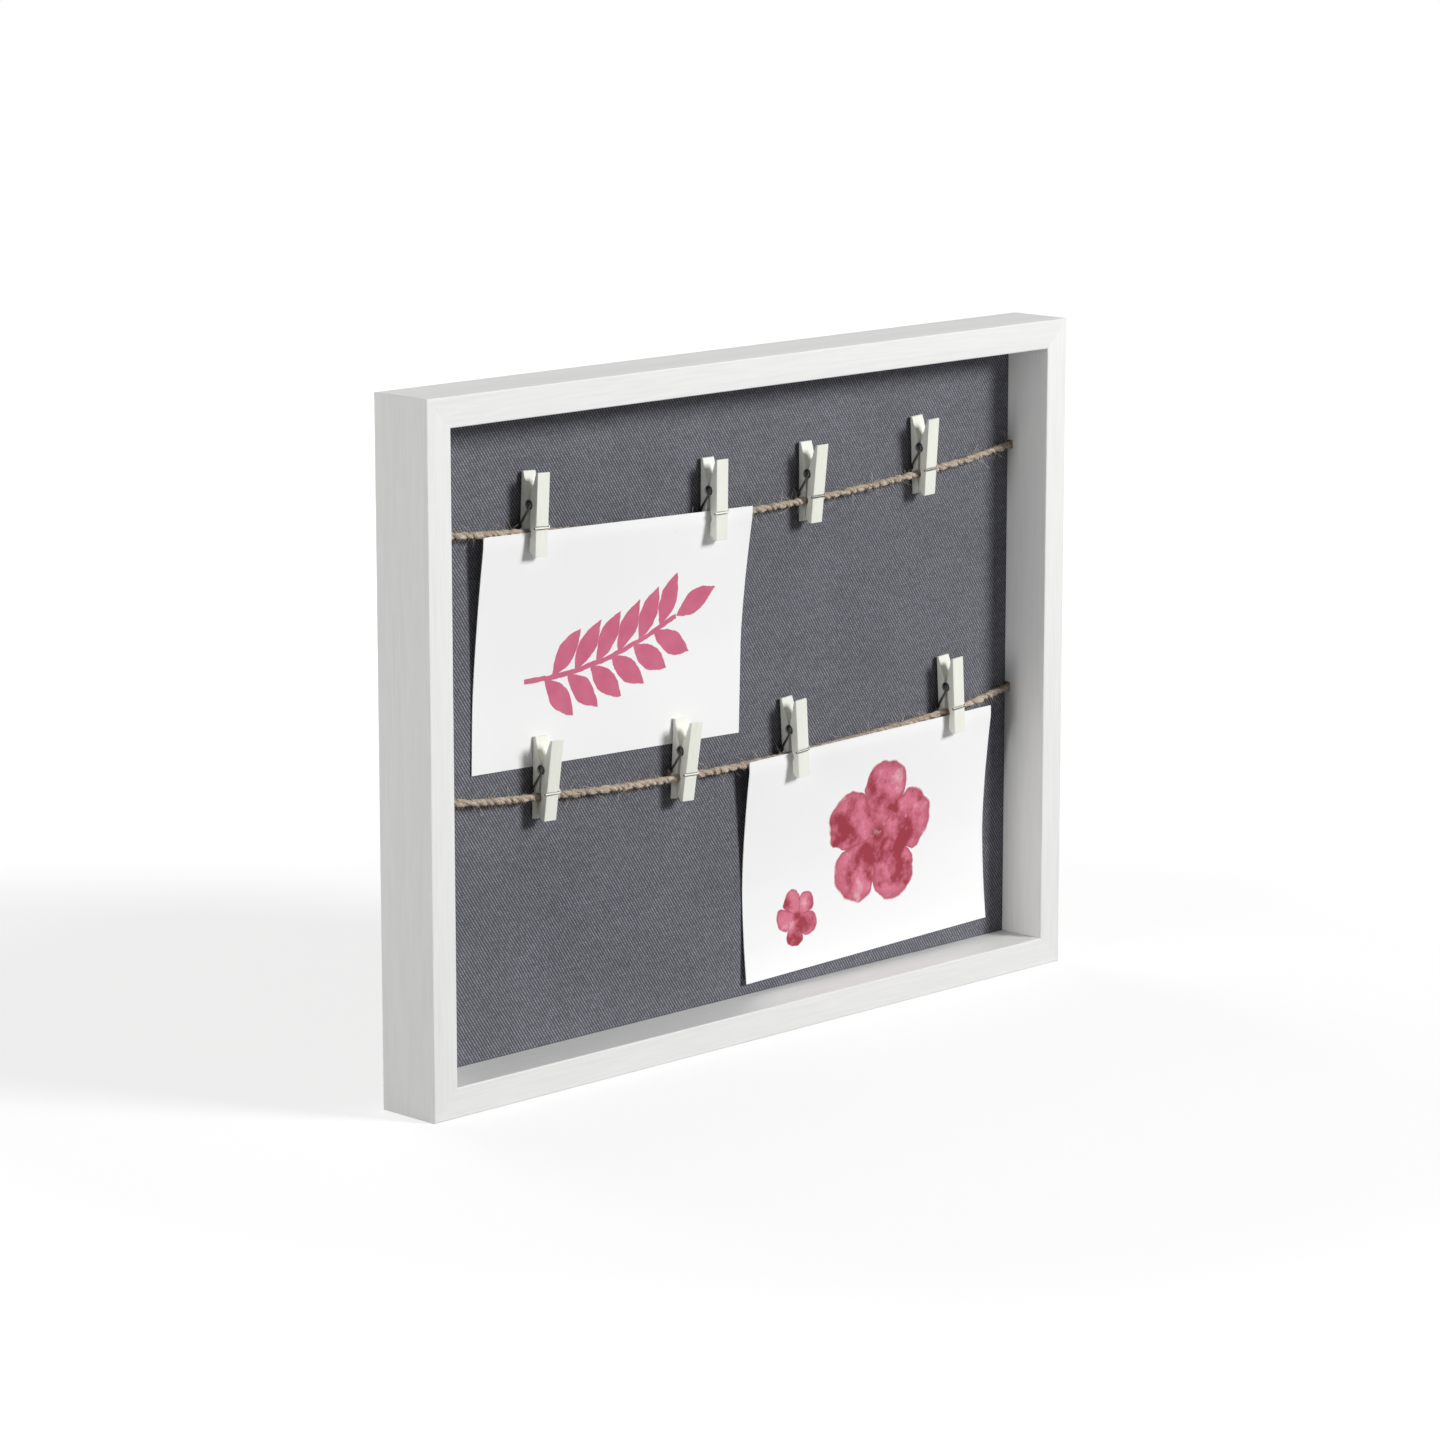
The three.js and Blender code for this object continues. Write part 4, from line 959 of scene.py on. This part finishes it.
def card_mesh(name, card):
    """A bent sheet with a printed front, a blank back and edges, and a map in metres from its middle."""
    turn = math.radians(card["turn"])
    work = bmesh.new()
    layer = work.loops.layers.uv.new("print")
    grids = []
    flat = {}
    for face in (-1, 1):
        grid = []
        for row in range(CARD_ROWS + 1):
            line = []
            below = card["height"] * row / CARD_ROWS
            for column in range(CARD_COLUMNS + 1):
                across = 2 * column / CARD_COLUMNS - 1
                aside = across * card["width"] / 2
                x = card["x"] + aside * math.cos(turn) + below * math.sin(turn)
                z = card["top"] + aside * math.sin(turn) - below * math.cos(turn)
                y = CANVAS_FRONT - card_standoff(card, across, below) + face * CARD_THICKNESS / 2
                vertex = work.verts.new((x, y, z))
                flat[vertex] = (aside, card["height"] / 2 - below)
                line.append(vertex)
            grid.append(line)
        grids.append(grid)
    front, back = grids
    for row in range(CARD_ROWS):
        for column in range(CARD_COLUMNS):
            corners = [(row, column), (row + 1, column), (row + 1, column + 1), (row, column + 1)]
            work.faces.new([front[r][c] for r, c in corners])
            work.faces.new([back[r][c] for r, c in reversed(corners)]).material_index = 1
    rim = [(0, c) for c in range(CARD_COLUMNS)]
    rim += [(r, CARD_COLUMNS) for r in range(CARD_ROWS)]
    rim += [(CARD_ROWS, c) for c in range(CARD_COLUMNS, 0, -1)]
    rim += [(r, 0) for r in range(CARD_ROWS, 0, -1)]
    for (r, c), (s, d) in zip(rim, rim[1:] + rim[:1]):
        work.faces.new([front[r][c], front[s][d], back[s][d], back[r][c]]).material_index = 1
    for face in work.faces:
        for loop in face.loops:
            loop[layer].uv = flat[loop.vert]
    mesh = bpy.data.meshes.new(name)
    work.to_mesh(mesh)
    work.free()
    mesh.shade_smooth()
    mesh.set_sharp_from_angle(angle=EDGE_ANGLE)
    return mesh


def card_surface(name):
    """Blank card: white, with a faint tooth, and the place on the print in metres."""
    material, tree, shader = new_material(name)
    feed(tree, shader, {"Roughness": CARD_ROUGHNESS})
    bumped(tree, shader, noise(tree, stretched(tree), CARD_TOOTH), **CARD_RELIEF)
    place = add(tree, "ShaderNodeUVMap", {}, uv_map="print").outputs["UV"]
    return material, tree, shader, place


def blank_card():
    """The unprinted back and edges, a little greyer."""
    material, tree, shader, _ = card_surface("blank_card")
    cloud = noise(tree, stretched(tree), **CARD_CLOUD)
    white = mixed(tree, spread(tree, cloud, *NOISE_MIDDLE), CARD_WHITE, CARD_BACK)
    feed(tree, shader, {"Base Color": white})
    return material


def wavering(tree, place, scale, reach):
    """A place moved a little by noise, as a wet brush wanders."""
    wander = add(tree, "ShaderNodeTexNoise", {"Vector": place, "Scale": scale}).outputs["Color"]
    halves = {0: wander, 1: (0.5, 0.5, 0.5)}
    centred = add(tree, "ShaderNodeVectorMath", halves, operation="SUBTRACT").outputs["Vector"]
    shift = {0: centred, 1: (reach, reach, 0), 2: place}
    return add(tree, "ShaderNodeVectorMath", shift, operation="MULTIPLY_ADD").outputs["Vector"]


def own_place(tree, place, x, y, degrees):
    """The X and Y of a place seen from a motif's own middle and turn."""
    seat = {"Vector": place, "Location": (x, y, 0), "Rotation": (0, 0, math.radians(degrees))}
    seen = add(tree, "ShaderNodeMapping", seat, vector_type="TEXTURE").outputs["Vector"]
    apart = add(tree, "ShaderNodeSeparateXYZ", {"Vector": seen}).outputs
    return apart["X"], apart["Y"]


def square_away(tree, across, up):
    """The square of the distance from a motif's middle."""
    squares = [maths(tree, "MULTIPLY", value, value) for value in (across, up)]
    return maths(tree, "ADD", *squares)


def sprig_print():
    """A leafy sprig in one pink, brushed with a full stroke for each leaf and a thin curved stem."""
    material, tree, shader, place = card_surface("card_with_pink_sprig")
    brush = wavering(tree, place, *SPRIG_BRUSH)
    stem_x, stem_y, stem_turn = STEM_AT
    along, aside = own_place(tree, brush, *STEM_AT)
    bow = maths(tree, "MULTIPLY", maths(tree, "POWER", along, 2.0), STEM_BOW)
    off = maths(tree, "ABSOLUTE", maths(tree, "SUBTRACT", aside, bow))
    stem = spread(tree, maths(tree, "SUBTRACT", STEM_HALF_WIDTH, off), 0.0, STROKE_EDGE)
    ends = maths(tree, "COMPARE", along, (STEM_FROM + STEM_TO) / 2, (STEM_TO - STEM_FROM) / 2)
    leaves = maths(tree, "MULTIPLY", stem, ends)
    places = [(STEM_TO, 0)]
    for pair in range(LEAF_PAIRS):
        up_stem = STEM_FROM + (STEM_TO - STEM_FROM) * (pair + LEAF_FIRST) / (LEAF_PAIRS + 1)
        places += [(up_stem, LEAF_ANGLE), (up_stem - LEAF_STAGGER, -LEAF_ANGLE)]
    in_stem = Matrix.Rotation(math.radians(stem_turn), 2)
    for up_stem, swing in places:
        root = in_stem @ Vector((up_stem, STEM_BOW * up_stem**2)) + Vector((stem_x, stem_y))
        lean = math.degrees(math.atan(2 * STEM_BOW * up_stem))
        along, aside = own_place(tree, brush, root.x, root.y, stem_turn + lean + swing)
        share = maths(tree, "DIVIDE", along, LEAF_LENGTH)
        belly = maths(tree, "SINE", maths(tree, "MULTIPLY", share, math.pi))
        inside = maths(tree, "COMPARE", share, 0.5, 0.5)
        half = maths(tree, "MULTIPLY", maths(tree, "MULTIPLY", belly, LEAF_WIDTH / 2), inside)
        leaf = maths(tree, "SUBTRACT", half, maths(tree, "ABSOLUTE", aside))
        leaves = maths(tree, "MAXIMUM", leaves, spread(tree, leaf, 0.0, STROKE_EDGE))
    cloud = noise(tree, place, SPRIG_CLOUD)
    ink = mixed(tree, spread(tree, cloud, *SPRIG_TONES), SPRIG_PINK, SPRIG_LIGHT)
    feed(tree, shader, {"Base Color": mixed(tree, leaves, CARD_WHITE, ink)})
    return material


def blossom_print():
    """Round five-petalled blossoms in crimson and rose washes, darker where the water dried last."""
    material, tree, shader, place = card_surface("card_with_rose_blossoms")
    wet = wavering(tree, place, *BLOSSOM_BRUSH)
    cloud = noise(tree, place, **BLOSSOM_CLOUD)
    colour = CARD_WHITE
    for x, y, radius, degrees in BLOSSOMS:
        across, up = own_place(tree, wet, x, y, degrees)
        away = maths(tree, "SQRT", square_away(tree, across, up))
        angle = maths(tree, "MULTIPLY", maths(tree, "ARCTAN2", up, across), PETALS / 2)
        lobe = maths(tree, "ABSOLUTE", maths(tree, "COSINE", angle))
        rounded = maths(tree, "POWER", lobe, PETAL_ROUNDNESS)
        reach = spread(tree, rounded, 0, 1, PETAL_NOTCH * radius, radius)
        depth = maths(tree, "DIVIDE", maths(tree, "SUBTRACT", reach, away), radius)
        covered = spread(tree, depth, *PETAL_EDGE)
        rim = maths(tree, "MULTIPLY", spread(tree, depth, *PETAL_RIM), PETAL_RIM_WASH)
        seam = maths(tree, "MULTIPLY", spread(tree, lobe, *PETAL_SEAM), PETAL_SEAM_WASH)
        dark = spread(tree, away, EYE_OUTER * radius, EYE_INNER * radius)
        for deeper in (rim, seam, spread(tree, cloud, *PETAL_DARK)):
            dark = maths(tree, "MAXIMUM", dark, deeper)
        wash = mixed(tree, dark, BLOSSOM_ROSE, BLOSSOM_CRIMSON)
        thin = maths(tree, "MULTIPLY", spread(tree, cloud, *PETAL_THIN), PETAL_THIN_WASH)
        wash = mixed(tree, thin, wash, BLOSSOM_PALE)
        colour = mixed(tree, covered, colour, wash)
    drops = add(tree, "ShaderNodeTexVoronoi", {"Vector": place, "Scale": SPLASH_CELLS}).outputs
    chance = add(tree, "ShaderNodeSeparateColor", {"Color": drops["Color"]}).outputs
    few = maths(tree, "GREATER_THAN", chance["Red"], 1 - SPLASH_SHARE)
    size = maths(tree, "MULTIPLY", chance["Green"], SPLASH_SIZE)
    spot = maths(tree, "LESS_THAN", drops["Distance"], size)
    away = square_away(tree, *own_place(tree, place, *SPLASH_AT))
    near = maths(tree, "LESS_THAN", away, SPLASH_REACH**2)
    splash = maths(tree, "MULTIPLY", maths(tree, "MULTIPLY", spot, few), near)
    feed(tree, shader, {"Base Color": mixed(tree, splash, colour, BLOSSOM_ROSE)})
    return material


card_back = blank_card()
for place, printed in (("upper", sprig_print()), ("lower", blossom_print())):
    mesh = card_mesh(f"printed_card_{place}", CARDS[place])
    card = new_piece(f"printed_card_{place}", mesh, printed, "frame")
    card.data.materials.append(card_back)
    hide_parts(f"card_{place}")


# Studio: the frame stands on a white floor before a white ground. One large soft lamp stands to the
# upper right in front, a weaker one low on the left, and faint ones above and behind.
WHITE = (1, 1, 1, 1)
FLOOR_SIZE = 12.0
FLOOR_GREY = (0.4, 0.4, 0.4, 1)
FLOOR_FADES = (0.35, 1.0)
FLOOR_LIFTS = (0.7, 1.0)
AMBIENT_TURNS = (0.0, 0.7)
AMBIENT_LEVELS = (0.025, 0.3)
CAMERA_AT = Vector((-1.5305, -1.5043, 0.5683))
CAMERA_AIM = Vector((0.00197, 0.0142, 0.13727))
CAMERA_LENS = 125.86
SENSOR = 36.0
LAMPS = {
    "key_lamp": dict(towards=(0.47, -0.85, 0.42), away=5.0, size=1.6, level=0.935),
    "left_lamp": dict(towards=(-0.99, -0.08, 0.12), away=2.0, size=0.6, level=0.36),
    "top_lamp": dict(towards=(0.05, 0.4, 0.92), away=1.8, size=0.8, level=0.11),
    "back_lamp": dict(towards=(0.1, 0.95, 0.28), away=2.5, size=1.2, level=0.24),
}
LAMP_AIM = Vector((0, 0, 0.15))


def seen_directly(tree):
    """One where a ray comes from the camera, a mirror or glass, and nought for soft light."""
    path = tree.nodes.new("ShaderNodeLightPath").outputs
    direct = maths(tree, "MAXIMUM", path["Is Camera Ray"], path["Is Glossy Ray"])
    return maths(tree, "MAXIMUM", direct, path["Is Transmission Ray"])


def white_floor():
    """White floor: matt for soft light, and lifted to the ground's white where it is seen."""
    material, tree, shader = new_material("white_floor")
    place = tree.nodes.new("ShaderNodeTexCoord").outputs["Object"]
    away = add(tree, "ShaderNodeVectorMath", {0: place}, operation="LENGTH").outputs["Value"]
    lift = spread(tree, away, *FLOOR_FADES, *FLOOR_LIFTS)
    feed(tree, shader, {
        "Base Color": FLOOR_GREY,
        "Roughness": 1.0,
        "Specular IOR Level": 0.0,
        "Emission Color": WHITE,
        "Emission Strength": maths(tree, "MULTIPLY", seen_directly(tree), lift),
    })
    return material


edge = FLOOR_SIZE / 2
floor_corners = [(-edge, -edge, 0), (edge, -edge, 0), (edge, edge, 0), (-edge, edge, 0)]
floor_mesh = bpy.data.meshes.new("floor")
floor_mesh.from_pydata(floor_corners, [], [(0, 1, 2, 3)])
floor_mesh.materials.append(white_floor())
floor = shown("floor", floor_mesh)
floor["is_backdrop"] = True

world = bpy.data.worlds.new("white_ground")
bpy.context.scene.world = world
world.use_nodes = True
tree = world.node_tree
ray = tree.nodes.new("ShaderNodeTexCoord").outputs["Generated"]
facing = add(tree, "ShaderNodeSeparateXYZ", {"Vector": ray}).outputs["Y"]
soft = spread(tree, facing, *AMBIENT_TURNS, *AMBIENT_LEVELS)
level = maths(tree, "MAXIMUM", seen_directly(tree), soft)
feed(tree, tree.nodes["Background"], {"Color": WHITE, "Strength": level})

for name, lamp in LAMPS.items():
    light = bpy.data.lights.new(name, "AREA")
    light.shape = "DISK"
    light.size = lamp["size"]
    light.energy = lamp["level"] * math.pi**2 * lamp["away"] ** 2
    holder = shown(name, light)
    towards = Vector(lamp["towards"]).normalized()
    holder.location = LAMP_AIM + towards * lamp["away"]
    holder.rotation_euler = towards.to_track_quat("Z", "Y").to_euler()

lens = bpy.data.cameras.new("photo_view")
lens.sensor_width = SENSOR
lens.lens = CAMERA_LENS
camera = shown("photo_view", lens)
camera.location = CAMERA_AT
camera.rotation_euler = (CAMERA_AIM - CAMERA_AT).to_track_quat("-Z", "Y").to_euler()
bpy.context.scene.camera = camera
bpy.context.scene.view_settings.view_transform = "Standard"

sizes = {
    "cad": [list(map(float, corner)) for corner in cad_box],
    "visual": [list(map(float, corner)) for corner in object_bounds()],
}
